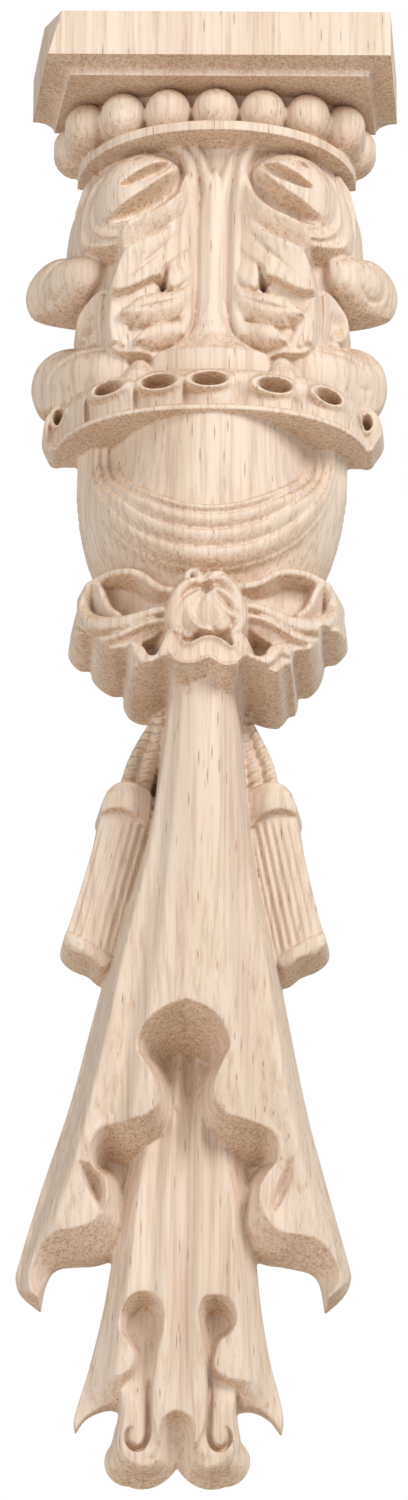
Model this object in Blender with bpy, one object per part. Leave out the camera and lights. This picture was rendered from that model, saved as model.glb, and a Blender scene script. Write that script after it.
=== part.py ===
"""A carved wooden moulding: a block and bead row, an acanthus capital, a pierced collar, a swagged bulb,
a bow, and a drape between two tassels. Sizes are in mm, x across, z up and depth out from the wall, and the
mesh is in metres"""

import bmesh
import bpy
import numpy as np

for old in list(bpy.data.objects):
    bpy.data.objects.remove(old, do_unlink=True)

# Sizes that several zones share
CELL = 0.8
GROUND = -4.0

TOP = 200.3
# The carving leans this far to the right for each mm of height
LEAN = 0.0218
# The slab behind the relief, and what the remesh and the solid are made to
SLAB_BACK = 8.0
OVERRUN = 3.0
VOXEL = 0.75
TRIANGLES = 9600
MM = 0.001
FASCIA_FOOT = 187.2
SOFFIT = 183.8
DISC_TOP, DISC_FOOT = 169.3, 166.6
BELL_FOOT = 97.0
RING_TOP, LIP_FOOT = 96.6, 82.8


def curve(points, count=80, closed=False):
    """A smooth line through points, as many times finer as asked"""
    p = np.array(points, float)
    if closed:
        p = np.vstack([p[-1], p, p[:2]])
    else:
        p = np.vstack([2 * p[0] - p[1], p, 2 * p[-1] - p[-2]])
    spans = len(p) - 3
    t = np.linspace(0, spans, count, endpoint=not closed)
    i = np.minimum(t.astype(int), spans - 1)
    f = (t - i)[:, None]
    a, b, c, d = p[i], p[i + 1], p[i + 2], p[i + 3]
    bend = 2 * a - 5 * b + 4 * c - d
    turn = 3 * b - a - 3 * c + d
    return 0.5 * (2 * b + (c - a) * f + bend * f ** 2 + turn * f ** 3)


def sided(points, side):
    """Points of the right-hand side, mirrored for the left when side is -1"""
    return [(p[0] * side,) + tuple(p[1:]) for p in points]


def ease(value, low, high):
    """0 below low, 1 above high, smooth between"""
    t = np.clip((value - low) / (high - low), 0, 1)
    return t * t * (3 - 2 * t)


def plan(x, half_width, depth, power=2.2):
    """Depth of a half-turned body in front of the wall, and the ground beyond its sides"""
    u = 1 - np.abs(x / half_width) ** power
    return np.where(u > 0, depth * np.maximum(u, 0) ** (1 / power), GROUND)


def read(path, place, column):
    """A value of a path's points at a place along it"""
    return np.maximum(np.interp(place, np.arange(len(path)), path[:, column]),
                      0.05 if column == 2 else -99)


class Carving:
    def __init__(self, cell):
        self.x = np.arange(-56, 56 + cell / 2, cell)
        self.z = np.arange(-203, 204, cell)
        self.X, self.Z = np.meshgrid(self.x, self.z)
        self.D = np.full(self.X.shape, GROUND)

    def window(self, x0, x1, z0, z1):
        i = slice(*np.searchsorted(self.z, (z0, z1)))
        j = slice(*np.searchsorted(self.x, (x0, x1)))
        return i, j

    def around(self, path, margin):
        low, high = path[:, :2].min(0) - margin, path[:, :2].max(0) + margin
        return self.window(low[0], high[0], low[1], high[1])

    def body(self, z0, z1, depth):
        """Raises the ground to depth(x, z) between two heights"""
        w = self.window(-56, 56, z0, z1)
        self.D[w] = np.maximum(self.D[w], depth(self.X[w], self.Z[w]))

    def nearest(self, path, w):
        """Distance to a path, where along it that is as a share of its points, and which side of it"""
        X, Z = self.X[w], self.Z[w]
        best = np.full(X.shape, 1e9)
        place = np.zeros(X.shape)
        side = np.ones(X.shape)
        for k, ((ax, az), (bx, bz)) in enumerate(zip(path[:-1, :2], path[1:, :2])):
            ex, ez = bx - ax, bz - az
            t = np.clip(((X - ax) * ex + (Z - az) * ez) / max(ex * ex + ez * ez, 1e-9), 0, 1)
            dx, dz = X - ax - t * ex, Z - az - t * ez
            d = dx * dx + dz * dz
            closer = d < best
            best = np.where(closer, d, best)
            place = np.where(closer, k + t, place)
            side = np.where(closer, ex * dz - ez * dx, side)
        return np.sqrt(best), place, side

    def blade(self, points, section=None, base=None, steep=4.0, count=70):
        """A raised band: points hold x, z, half-width and lift. section(s) adds to the lift, s being -1 on
        the right of the path as it runs and 1 on its left. base(x, z) is what the lift stands on"""
        path = curve(points, count)
        w = self.around(path, path[:, 2].max() + 5)
        d, place, side = self.nearest(path, w)
        half, lift = read(path, place, 2), read(path, place, 3)
        s = np.clip(np.sign(side) * d / half, -1, 1)
        height = lift + (section(s) if section else 0)
        if base:
            height = height + base(self.X[w], self.Z[w])
        height = height - steep * np.maximum(0, d - half)
        self.D[w] = np.maximum(self.D[w], height)

    def groove(self, points, count=50):
        """A cut: points hold x, z, half-width and how deep"""
        path = curve(points, count)
        w = self.around(path, path[:, 2].max() + 1)
        d, place, _ = self.nearest(path, w)
        half, deep = read(path, place, 2), read(path, place, 3)
        cut = deep * np.clip(1 - (d / half) ** 2, 0, 1)
        self.D[w] -= cut

    def outside(self, outline, w, squash=1.0):
        """Distance outside a closed outline, below 0 inside it. squash scales what is measured along z"""
        X, Z = self.X[w], self.Z[w] * squash
        p = np.array(outline, float) * (1, squash)
        best = np.full(X.shape, 1e9)
        inside = np.zeros(X.shape, bool)
        for (ax, az), (bx, bz) in zip(p, np.roll(p, -1, axis=0)):
            ex, ez = bx - ax, bz - az
            t = np.clip(((X - ax) * ex + (Z - az) * ez) / max(ex * ex + ez * ez, 1e-9), 0, 1)
            best = np.minimum(best, (X - ax - t * ex) ** 2 + (Z - az - t * ez) ** 2)
            if az != bz:
                cross = (Z >= min(az, bz)) & (Z < max(az, bz))
                inside ^= cross & (X < ax + (Z - az) * ex / ez)
        return np.where(inside, -1, 1) * np.sqrt(best)

    def plateau(self, outline, depth, steep=4.0, squash=1.0, margin=9, foot=None):
        """A layer of the given depth(x, z) inside an outline, with walls that fall away outside it. foot is
        the outline at the wall that the layer never passes"""
        p = np.array(outline, float)
        w = self.window(p[:, 0].min() - margin, p[:, 0].max() + margin, p[:, 1].min() - margin * 2,
                        p[:, 1].max() + margin)
        out = self.outside(outline, w, squash)
        fall = steep(self.X[w], self.Z[w]) if callable(steep) else steep
        height = depth(self.X[w], self.Z[w]) - fall * np.maximum(0, out)
        if foot is not None:
            height = np.minimum(height, -12 * self.outside(foot, w))
        self.D[w] = np.maximum(self.D[w], height)


def surface(controls, x, z):
    """A smooth surface through control points (x, z, depth)"""
    p = np.array(controls, float)
    reach = np.hypot(p[:, None, 0] - p[None, :, 0], p[:, None, 1] - p[None, :, 1])
    weights = np.linalg.solve(reach + 0.02 * np.eye(len(p)), p[:, 2] - p[:, 2].mean())
    height = np.full(x.shape, p[:, 2].mean())
    for (px, pz, _), weight in zip(p, weights):
        height = height + weight * np.sqrt((x - px) ** 2 + (z - pz) ** 2 + 0.8)
    return height


def patch(c, side, outline, controls, steep=5.0, soft=0.0):
    """One leaf or fold: a smooth surface through its control points, inside a smooth closed outline"""
    outline = [tuple(p) for p in curve(sided(outline, side), 5 * len(outline), closed=True)]
    controls = sided(controls, side)
    p = np.array(outline)
    w = c.window(p[:, 0].min() - 6, p[:, 0].max() + 6, p[:, 1].min() - 8, p[:, 1].max() + 6)
    out = c.outside(outline, w)
    fall = steep * np.maximum(0, out) + soft * np.maximum(0, 1 + np.minimum(out, 0)) ** 2
    c.D[w] = np.maximum(c.D[w], surface(controls, c.X[w], c.Z[w]) - fall)


def hollow(c, outline, controls, steep=5.0):
    """The opposite of a patch: cuts down to a smooth surface inside an outline"""
    outline = [tuple(p) for p in curve(outline, 5 * len(outline), closed=True)]
    p = np.array(outline)
    w = c.window(p[:, 0].min() - 1, p[:, 0].max() + 1, p[:, 1].min() - 1, p[:, 1].max() + 1)
    out = c.outside(outline, w)
    floor = surface(controls, c.X[w], c.Z[w]) + steep * np.maximum(0, 0.6 + out)
    c.D[w] = np.where(out < 0, np.minimum(c.D[w], floor), c.D[w])


def trim(c, outline, z0, z1, steep=14):
    """Keeps what lies between two heights inside an outline at the wall"""
    w = c.window(-56, 56, z0, z1)
    c.D[w] = np.minimum(c.D[w], np.maximum(-steep * c.outside(outline, w), GROUND))


def eased_slopes(slopes_before, slopes_after):
    """The slope of a smooth line at a point that has these straight slopes on its two sides"""
    product = slopes_before * slopes_after
    total = slopes_before + slopes_after
    return np.where(product > 0, 2 * product / np.where(product > 0, total, 1), 0)


def hermite(t, low, high, rise_low, rise_high):
    """A smooth line between two values that starts and ends with the given rises"""
    bend = 3 * (high - low) - 2 * rise_low - rise_high
    turn = 2 * (low - high) + rise_low + rise_high
    return low + t * (rise_low + t * (bend + t * turn))


def knots(z, table):
    """Reads a value off a smooth line through a short table of (z, value), level beyond its ends"""
    t = np.array(sorted(table), float)
    if len(t) == 2:
        return np.interp(z, t[:, 0], t[:, 1])
    slopes = np.diff(t[:, 1]) / np.diff(t[:, 0])
    tangents = np.concatenate([slopes[:1], eased_slopes(slopes[:-1], slopes[1:]), slopes[-1:]])
    z = np.clip(z, t[0, 0], t[-1, 0])
    k = np.clip(np.searchsorted(t[:, 0], z, side="right") - 1, 0, len(t) - 2)
    span = t[k + 1, 0] - t[k, 0]
    return hermite((z - t[k, 0]) / span, t[k, 1], t[k + 1, 1], tangents[k] * span, tangents[k + 1] * span)


def folds(lines, half, x, z):
    """A pleated surface that runs smoothly from line to line across the piece. Each line holds its height,
    its place across as a share of the half width, and its depth"""
    places = [knots(z, [(h, share) for h, share, _ in line]) * half for line in lines]
    depths = [knots(z, [(h, d) for h, _, d in line]) for line in lines]
    slopes = [(d1 - d0) / (p1 - p0) for p0, p1, d0, d1 in zip(places, places[1:], depths, depths[1:])]
    tangents = [0 * slopes[0]] + [eased_slopes(a, b) for a, b in zip(slopes, slopes[1:])] + [slopes[-1]]
    across = np.clip(np.abs(x), 0, places[-1])
    height = depths[-1] + 0 * across
    for k in range(len(lines) - 1):
        span = places[k + 1] - places[k]
        t = (across - places[k]) / span
        part = hermite(np.clip(t, 0, 1), depths[k], depths[k + 1], tangents[k] * span,
                       tangents[k + 1] * span)
        height = np.where((t >= 0) & (t <= 1), part, height)
    return height


def smooth(points, closed=False):
    return [tuple(p) for p in curve(points, 6 * len(points), closed)]


# Abacus
CAVETTO = 6.0
BLOCK_DEPTH = 42.0
BLOCK_LEFT, BLOCK_RIGHT = -47.8, 53.9
BLOCK_FRONT_LEFT, BLOCK_FRONT_RIGHT = -42.7, 50.8


BEAD_RADIUS = 6.25
BEADS = [(0, 27), (13.0, 26.3), (25.3, 23.5), (35.3, 16.5), (38.7, 3.0)]
# The row of beads sits a little to the left of the middle
BEAD_SHIFT = -0.8


def beads(c):
    c.body(DISC_TOP, SOFFIT + 6, lambda x, z: plan(x, 37.5, 24, 3))
    middle = 0.5 * (SOFFIT + 171.3)
    for x0, d0 in BEADS:
        for x1 in (x0 + BEAD_SHIFT, -x0 + BEAD_SHIFT):
            w = c.window(x1 - 7, x1 + 7, middle - 8, middle + 7)
            # its lower half is drawn out down to the disc
            above = c.Z[w] - middle
            rho = BEAD_RADIUS ** 2 - (c.X[w] - x1) ** 2 - np.where(above > 0, above, 0.8 * above) ** 2
            c.D[w] = np.maximum(c.D[w], np.where(rho > 0, d0 + np.sqrt(np.maximum(rho, 0)), GROUND))


def disc(c):
    def depth(x, z):
        edge = 38 - 9 * ease(z, DISC_TOP, 171.5)
        return plan(x, 38.7 - 5 * ease(z, DISC_TOP, 171.5), edge, 2.1)
    c.body(DISC_FOOT, 171.5, depth)


# Capital
BELL_WIDTH = [(97, 33), (108, 34.0), (114, 35.0), (118, 36.5), (125, 37.2), (140, 38.2), (155, 38.2),
              (162, 36), (167, 34)]
BELL_DEPTH = [(97, 14), (106, 16), (112, 20), (120, 22), (135, 22), (150, 24), (167, 26)]


def bell_depth(x, z):
    return plan(x, knots(z, BELL_WIDTH), knots(z, BELL_DEPTH), 2.4)


def capital(c):
    c.body(BELL_FOOT - 2, DISC_FOOT + 1, bell_depth)
    for side in (1, -1):
        side_leaves(c, side)
        volute(c, side)
        lower_leaves(c, side)
        main_leaf(c, side)
        curls(c, side)
    stem(c)


def leaf(c, side, points, section, steep=5.0, base=None, count=70):
    turned = section if side > 0 else (lambda s: section(-s))
    c.blade(sided(points, side), turned, base, steep=steep, count=count)


# Where the volute's ball sits, and its half-sizes across and up
BALL = (20.2, 151.8, 13.2, 14.2)


def volute(c, side):
    # the plain flank, the curled shelf round the ball, then the ball
    c.plateau(sided([(30, 165), (34, 165.5), (36.8, 161), (38.6, 154), (38.8, 146), (38.4, 138),
                     (34, 137), (30, 150)],
                    side),
              lambda x, z: 12 + 0 * x, steep=14)
    patch(c, side,
          [(27, 163), (32, 160.5), (35.4, 155), (36.6, 148), (36.2, 141.5), (32, 138.6), (25, 138.2),
           (24, 146), (26, 156)],
          [(30, 160, 20), (34.5, 154, 18), (36, 147, 17.5), (35.6, 141, 19), (31.5, 139, 23),
           (25, 139, 27), (28, 148, 22), (26, 158, 22)],
          steep=4)
    patch(c, side,
          [(24, 162), (30.5, 158.5), (33.8, 153), (34.2, 146.5), (31.6, 141.5), (27, 139.6), (22, 142),
           (20, 152)],
          [(28, 160, 22), (33.5, 153, 20.5), (33.8, 146.5, 21), (31, 142, 24), (26.5, 140, 27.5),
           (24, 150, 24)],
          steep=4)
    x0, z0, rx, rz = BALL[0] * side, BALL[1], BALL[2], BALL[3]
    w = c.window(x0 - rx - 5, x0 + rx + 5, z0 - rz - 4, z0 + rz + 3)
    rho = np.hypot((c.X[w] - x0) / rx, (c.Z[w] - z0) / rz)
    swell = 10.5 * np.clip(1 - rho ** 2.6, 0, 1) ** 0.5 - 40 * np.maximum(0, rho - 1)
    c.D[w] = np.maximum(c.D[w], 21.5 + swell - 0.22 * side * (c.X[w] - x0))
    c.groove(sided([(26.2, 153.4, 0.5, 0.8), (24.4, 154.0, 1.2, 2.8), (21.0, 155.5, 1.9, 4.2),
                    (16.8, 157.6, 2.2, 4.4), (14.0, 159.3, 1.5, 3.0), (12.6, 160.6, 0.6, 0.8)],
                   side))
    c.groove(sided([(28.5, 144.6, 1.2, 0.8), (25.5, 145.2, 2.2, 3.6), (21.5, 146.6, 3.1, 6.2),
                    (15.8, 149.8, 3.4, 6.8), (11.6, 153.8, 3.0, 6.0), (9.3, 158.0, 2.0, 4.0),
                    (9.0, 162.4, 1.2, 2.0)],
                   side))
    # a small drilled hole near the top of the ball
    hole = (-21.8, 162.4, 0.5) if side < 0 else (23.4, 160.8, -0.6)
    run = 1.1
    c.groove([(hole[0] - run, hole[1] - run * hole[2], 0.7, 1.6), (hole[0], hole[1], 0.9, 2.2),
              (hole[0] + run, hole[1] + run * hole[2], 0.7, 1.6)])


def main_leaf(c, side):
    """The long leaf that falls from beside the stem: an upper lobe tucked behind a lower one"""
    patch(c, side,
          [(11.0, 166.0), (8.0, 160.5), (8.9, 156.4), (10.4, 151.6), (14.3, 147.0), (19.3, 144.2),
           (24.3, 141.4), (25.0, 136.6), (20, 131), (8, 136), (5.6, 143), (5.9, 152), (6.6, 158),
           (8.6, 164)],
          [(10, 165, 25), (7.4, 157, 27.5), (10.0, 151.3, 30.2), (14.2, 146.6, 31.6), (19.3, 143.8, 31.8),
           (24.0, 141.0, 31), (24.6, 137, 28.5), (18, 138.6, 28.2), (12, 143.2, 27.8), (7.6, 150.5, 27.4),
           (6.0, 142, 25)],
          steep=4)
    patch(c, side,
          [(6.2, 150), (9.4, 145.6), (12.6, 141.5), (15.0, 139.1), (19.6, 136.8), (23.9, 134.4),
           (26.2, 129.0), (27.3, 122.6), (23.6, 122.4), (20.3, 123.8), (17.0, 126), (13.8, 127.4),
           (12.9, 130.2), (8.6, 134.6), (6.0, 139.2), (5.6, 145)],
          [(6.4, 149, 25.6), (9.6, 145, 28.6), (14.8, 139, 31.2), (19.5, 136.5, 31.8), (23.7, 134, 31.2),
           (26, 129, 30.2), (26.8, 123, 30.8), (20.8, 124.4, 31.6), (14.6, 127.6, 30.6),
           (18.6, 131, 30.0), (13, 134.6, 29.2), (8.4, 137.4, 27.0), (5.8, 142, 24.6)],
          steep=6, soft=0.35)
    # the fold's faint middle line
    c.groove(sided([(9.4, 141.0, 0.6, 0.3), (13.5, 135.6, 0.8, 0.7), (18, 131.0, 0.8, 0.7),
                    (22.6, 126.6, 0.5, 0.4)],
                   side))
    # the hooked leaflet under it
    patch(c, side,
          [(5.4, 138), (8.4, 135.6), (11.6, 132.2), (12.4, 129.4), (12.6, 126.0), (11.4, 123.6),
           (9.2, 124.4), (6.6, 127.4), (5.4, 131)],
          [(5.8, 137, 24.4), (8.6, 134, 27.0), (11.4, 130.6, 28.2), (12.2, 126.4, 28.8),
           (10.8, 124.4, 29), (8.2, 128.4, 28.2), (5.8, 131.6, 25.2)],
          steep=6, soft=0.8)
    c.groove(sided([(12.6, 130.6, 0.5, 0.6), (13.2, 128.2, 0.9, 2.6), (13.4, 125.4, 1.1, 3.6),
                    (14.6, 123.2, 0.9, 1.6)],
                   side))


def lower_leaves(c, side):
    # the fan under the leaf tips, with its rays
    patch(c, side,
          [(27.5, 123), (27.0, 115.8), (26.4, 106.4), (18.4, 104.6), (12.0, 104.0), (8, 112), (10, 122),
           (20, 126)],
          [(27, 121, 27), (26.4, 113, 26), (26.0, 106.6, 26.4), (19.5, 105.6, 28.5), (13, 105, 26.0),
           (18, 113, 26.8), (20, 121, 28.0), (9, 115, 25.5)],
          steep=5)
    for x1, z1 in ((26.4, 108.6), (23.8, 107.4), (21.2, 106.6)):
        leaf(c, side,
             [(27.2, 120.6, 0.7, 26.6), (0.5 * (27.0 + x1) + 0.5, 114.6, 1.0, 26.8), (x1, z1, 0.9, 27.4)],
             lambda s: 0.9 * (1 - s * s))
    # the two plump leaflets beside the stem
    leaf(c, side,
         [(5.2, 119.6, 0.8, 24.6), (6.6, 114.2, 1.9, 26.8), (9.2, 111.2, 2.8, 28.6),
          (13.0, 109.6, 3.0, 30.0), (16.2, 108.4, 3.0, 30.4), (18.2, 107.6, 2.2, 30.2)],
         lambda s: -2.6 * (1 - s) ** 2 / 4 + 0.9 * (1 - s * s), steep=7)
    leaf(c, side,
         [(5.6, 127.4, 0.8, 24.8), (7.2, 122.4, 2.4, 27.6), (10.8, 119.0, 3.6, 29.2),
          (15.4, 117.2, 4.3, 30.2), (19.6, 116.0, 3.8, 30.4), (22.6, 115.4, 2.2, 29.8)],
         lambda s: -1.8 * (1 - s) ** 2 / 4 + 1.5 * (1 - s * s), steep=7)
    c.groove(sided([(8.4, 120.4, 0.5, 0.4), (12.6, 118.4, 0.7, 0.9), (17, 117.0, 0.7, 0.9),
                    (20.6, 116.2, 0.5, 0.4)],
                   side))
    for x0, z0 in ((20.4, 113.6), (21.8, 112.6)):
        c.groove(sided([(x0 - 0.6, z0 + 1.4, 0.4, 0.4), (x0, z0, 0.6, 0.8),
                        (x0 + 1.2, z0 - 1.4, 0.4, 0.4)],
                       side))


def side_leaves(c, side):
    """Leaflets between the bell and the curls at its side"""
    patch(c, side,
          [(29.0, 127.4), (33.6, 126.0), (37.0, 121.4), (36.6, 116.2), (34.6, 113.4), (32.0, 117),
           (30.2, 123)],
          [(30, 126, 20), (34, 125, 15), (36.6, 121, 13), (36.2, 116.6, 14), (34.6, 114.2, 16),
           (33.4, 119.6, 12.4), (31.4, 122, 18)],
          steep=14, soft=0.5)
    patch(c, side, [(29.6, 119.6), (32.4, 116), (34.6, 112.6), (34.0, 110.0), (31.4, 109.6), (29.6, 113)],
          [(30, 118, 20), (33, 114.6, 16), (34.2, 112, 15.4), (33.6, 110.4, 16.4), (31, 110.6, 18.6),
           (31.8, 113.4, 15)],
          steep=7, soft=0.5)
    for x0, x1 in ((28.6, 27.4), (30.2, 29.4)):
        leaf(c, side, [(x0, 124.6, 0.7, 20.5), (x0 + 0.3, 118, 0.8, 20), (x1, 108, 0.8, 20)],
             lambda s: 0.9 * (1 - s * s))


def curls(c, side):
    """The leaf tips that roll outward at the side, cut across so that they end in a flat scroll"""
    out = 0.7 if side < 0 else -0.3
    patch(c, side,
          [(30.8, 137), (32.4, 140.6), (36.5, 141.8), (41.5 + out, 142.2), (46.5 + out, 140.8),
           (50.2 + out, 137), (51.0 + out, 132), (49.2 + out, 127.4), (45.6 + out, 125.8), (41, 125.0),
           (37.2, 124.6), (34.2, 127), (31.6, 130.8)],
          [(31.4, 136, 18.5), (33.5, 139.2, 17), (38, 139.8, 14.5), (38, 142, 6), (43, 139.8, 10.5),
           (48.6 + out, 138.0, 4), (50.8 + out, 132, 1.5), (48.4 + out, 128.2, 3), (43, 127.0, 9.5),
           (37.8, 126.2, 14.5), (37.4, 124.8, 7), (34.6, 128.2, 17.6), (32, 131.6, 18.6),
           (39.5, 132.5, 16.8), (45, 132.5, 11.5)],
          steep=9, soft=0.8)
    c.groove(sided([(33.2, 139.0, 0.5, 0.3), (38.5, 139.4, 0.7, 0.9), (43.6, 138.6, 0.8, 1.1),
                    (46.8, 134.8, 0.8, 1.1), (46.2, 130.2, 0.8, 1.1), (42.8, 128.2, 0.7, 0.9),
                    (40.4, 130.4, 0.5, 0.5)],
                   side))
    up = 1.6 if side > 0 else 0.4
    patch(c, side,
          [(22.4, 106.6), (26.6, 112.4), (31.5, 114.8), (37 + out, 116.4 + 0.7 * up),
           (43.0 + out, 114.9 + up), (47.4 + out, 110.6 + up), (48.5 + out, 105), (46.6 + out, 99.4),
           (43.5 + out, 96.6), (36, 95.5), (24, 95.5)],
          [(24, 107.0, 24), (28.5, 110.0, 22), (36.5, 110.8, 15.5), (36.5, 116.4, 4),
           (42.4 + out, 110, 9), (46.9 + out, 107.6, 3.5), (47.9 + out, 103, 2), (45.6 + out, 98.6, 5),
           (38, 97, 16), (28, 98, 25), (35, 104.4, 20.5), (41.5, 104.4, 14)],
          steep=9, soft=0.8)
    c.groove(sided([(28.4, 107.6, 0.5, 0.3), (34.4, 108.8, 0.8, 0.9), (40.2, 108.4, 0.9, 1.2),
                    (43.6, 105.6, 0.9, 1.2), (43.4, 102.2, 0.8, 1.0), (40.6, 100.8, 0.6, 0.6)],
                   side))


def stem(c):
    """The middle stem: a rounded rib between two channels that spread out at the top, on a trumpet foot"""
    def base(x, z):
        return knots(z, [(97, 27), (112, 25.5), (125, 25), (150, 25.5), (167, 28)]) + 0 * x

    def trumpet(x, z):
        fluted = 0.5 * np.cos(2 * np.pi * x / 9.5) * ease(z, 103, 108)
        flare = np.clip((118 - z) / 14.5, 0, 1)
        return 26.5 - 0.016 * x * x + 7.5 * flare ** 1.7 + fluted

    c.blade([(0, 168, 6.4, -1.2), (0, 160, 5.6, -1.2), (0, 125, 5.6, -1.2), (0, 108, 6, -1.0)], None,
            base)
    # rib, wider at the top where it splits to a Y
    c.blade([(-0.4, 160, 0.6, -0.6), (-0.4, 155, 2.0, 0.6), (-0.5, 150, 2.9, 1.2), (-0.6, 130, 3.1, 1.3),
             (-0.6, 118, 3.2, 1.5), (-0.4, 110, 4.2, 2.6)],
            lambda s: 1.3 * (1 - s * s), base, steep=2.5, count=200)
    for side in (1, -1):
        # the two strands beside the rib, which fan out under the disc
        c.blade([(13.6 * side, 166.8, 0.9, -1.6), (9.8 * side, 165.4, 1.2, 0.2),
                 (7.4 * side, 161.6, 1.3, 0.9), (6.4 * side, 155, 1.2, 0.9), (6.1 * side, 140, 1.1, 0.7),
                 (6.0 * side, 126, 1.1, 0.8), (6.6 * side, 117, 1.3, 1.4), (8.6 * side, 111.2, 1.6, 2.6)],
                lambda s: 0.8 * (1 - s * s), base, steep=3, count=200)
        c.blade([(6.6 * side, 167, 1.0, 0.2), (4.6 * side, 163.4, 1.1, 0.6),
                 (3.0 * side, 158.6, 1.1, 0.8), (2.0 * side, 153.6, 1.2, 0.9),
                 (1.4 * side, 148, 1.2, 0.9)],
                lambda s: 0.9 * (1 - s * s), base, steep=3, count=120)
    foot = [(3.4, 121), (4.2, 115), (5.4, 110.8), (7.6, 107.4), (10.8, 105.0), (14.6, 103.5),
            (15.6, 101.6), (15.9, 97.2)]
    for side in (1, -1):
        c.plateau(sided([(-0.6, 121)] + foot + [(-0.6, 97.2)], side), trumpet, steep=4)


# Pierced collar
def ring_plan(x, z):
    width = knots(z,
                  [(82.8, 43.4), (84.4, 43.4), (84.9, 42.6), (88, 42.6), (91, 43.0), (94, 42.2),
                   (96.6, 40.8)])
    depth = knots(z,
                  [(82.8, 40.3), (84.4, 40.3), (84.9, 39.2), (88, 39.6), (90, 40.0), (92, 39.6),
                   (94.5, 38.0), (96.6, 36.4)])
    return plan(x - 0.6, width, depth, 2.25)


# Place across, height and half-width of each eyelet, and places of the edges between the cups under them
EYELETS = [(-41.0, 92.6, 1.6), (-27.3, 92.7, 3.9), (-13.8, 91.8, 4.5), (-0.2, 92.1, 4.8),
           (17.4, 91.2, 4.6), (31.9, 91.7, 3.5), (42.6, 91.5, 1.5)]
CUP_EDGES = [-46, -33.6, -20.6, -7.4, 6.9, 22.0, 36.4, 46]
EYELET_RISE = 2.25
CUP_DEPTH = 3.4
LIP_TOP = 84.6


def collar(c):
    c.body(LIP_FOOT, RING_TOP, ring_plan)
    # the side of the collar shows one round end, as its band is thick
    for side, out in ((1, 2.8), (-1, 0.9)):
        c.blade(sided([(35, 97, 1.6, 11), (39.6 + 0.7 * out, 94.8, 2.4, 11), (41.8 + out, 90, 2.4, 11),
                       (41.0 + 0.7 * out, 84.8, 1.6, 11)],
                      side),
                steep=14)
    w = c.window(-44, 45, LIP_FOOT, RING_TOP)
    X, Z = c.X[w], c.Z[w]
    cut = np.zeros(X.shape)
    for (x0, z0, half), left, right in zip(EYELETS, CUP_EDGES, CUP_EDGES[1:]):
        rho = np.hypot((X - x0) / half, (Z - z0) / EYELET_RISE)
        cut += 7.0 * (1 - ease(rho, 0.8, 1.05)) - 0.9 * np.exp(-((rho - 1.25) / 0.3) ** 2)
        # the cup starts behind the edge on its left and swells out to the next one
        t = (X - left) / (right - left)
        deep = CUP_DEPTH * (1 - np.clip(t, 0, 1)) ** 1.5 * ease(rho, 1.3, 1.7)
        deep = deep * ease(Z, LIP_TOP - 0.3, LIP_TOP + 0.3) * (1 - ease(Z, 89.5, 95.5))
        cut += np.where((t >= 0) & (t < 1), deep, 0)
    c.D[w] -= np.where(c.D[w] > 0, cut, 0)
    for side, top in ((1, 99.6), (-1, 98.8)):
        c.blade([(19.0 * side, 96.4, 3.4, 33.5), (19.0 * side, top, 2.2, 31.5)],
                lambda s: 1.5 * (1 - s * s), steep=3)


# Bulb
# Height range over which the belly draws in, so that the swags' gathers lie back beside it under the lip
GATHER_FOOT, GATHER_TOP = 58, 80
BELLY_HALF = [(58, 14), (62, 19.5), (66, 22.9), (70, 25.2), (75, 26.8), (80, 27.3), (84, 27.3)]
FLANK_DEPTH = 12.6
BELLY_BLEND = 3.0


def bulb_plan(x, z):
    width = knots(z, [(26, 19.4), (35, 25.6), (44, 29.4), (55, 33.7), (66, 36.1), (76, 37.0), (84, 37.0)])
    depth = knots(z, [(26, 28), (35, 32), (44, 35.5), (55, 37.8), (66, 38.8), (76, 39.0), (84, 38.6)])
    whole = plan(x - 1.0, width - 0.2, depth, 2.15)
    belly = np.maximum(plan(x - 1.0, knots(z, BELLY_HALF), depth, 2.0), 0)
    flank = plan(x - 1.0, width - 0.2, FLANK_DEPTH, 7)
    drawn_in = 0.5 * (belly + flank + np.hypot(belly - flank, BELLY_BLEND))
    drawn_in = np.where(flank > 0, drawn_in, flank)
    share = ease(z, GATHER_FOOT, GATHER_TOP)
    return (1 - share) * whole + share * drawn_in


LAST_FOLD = 0.7
SWAGS = [(25.4, 55.9), (27.8, 53.6), (29.9, 49.4), (32.2, 44.6), (33.6, 39.8)]


def bulb(c):
    c.body(26, LIP_FOOT, bulb_plan)
    w = c.window(-40, 40, 26, LIP_FOOT)
    X, Z = c.X[w], c.Z[w]
    top = 80.0
    # each swag hangs from its half-width at the top down to its lowest point
    levels = []
    for half, low in SWAGS:
        r = np.hypot((X - 1.0) / half, (Z - top) / (top - low))
        levels.append((r - 1) * (top - low))
    relief = np.zeros(X.shape)
    # steps: each fold is a rounded roll between two lines
    for inner, outer in zip(levels[:-1], levels[1:]):
        t = np.clip(inner / np.maximum(inner - outer, 0.3), 0, 1)
        roll = 1.9 * np.sqrt(np.clip(1 - (2 * t - 1) ** 2, 0, 1)) + 1.0 * (1 - t) - 0.4
        relief += np.where((inner > 0) & (outer < 0), roll, 0)
    relief += np.where(levels[-1] > 0, -0.6, 0)
    # a thin fold runs round below the last swag
    last = levels[-1] - LAST_FOLD
    relief += np.where(last > 0, -0.9, 0) + 0.9 * np.exp(-(last / 0.55) ** 2)
    c.D[w] += np.where(c.D[w] > 3, relief, 0)


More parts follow.
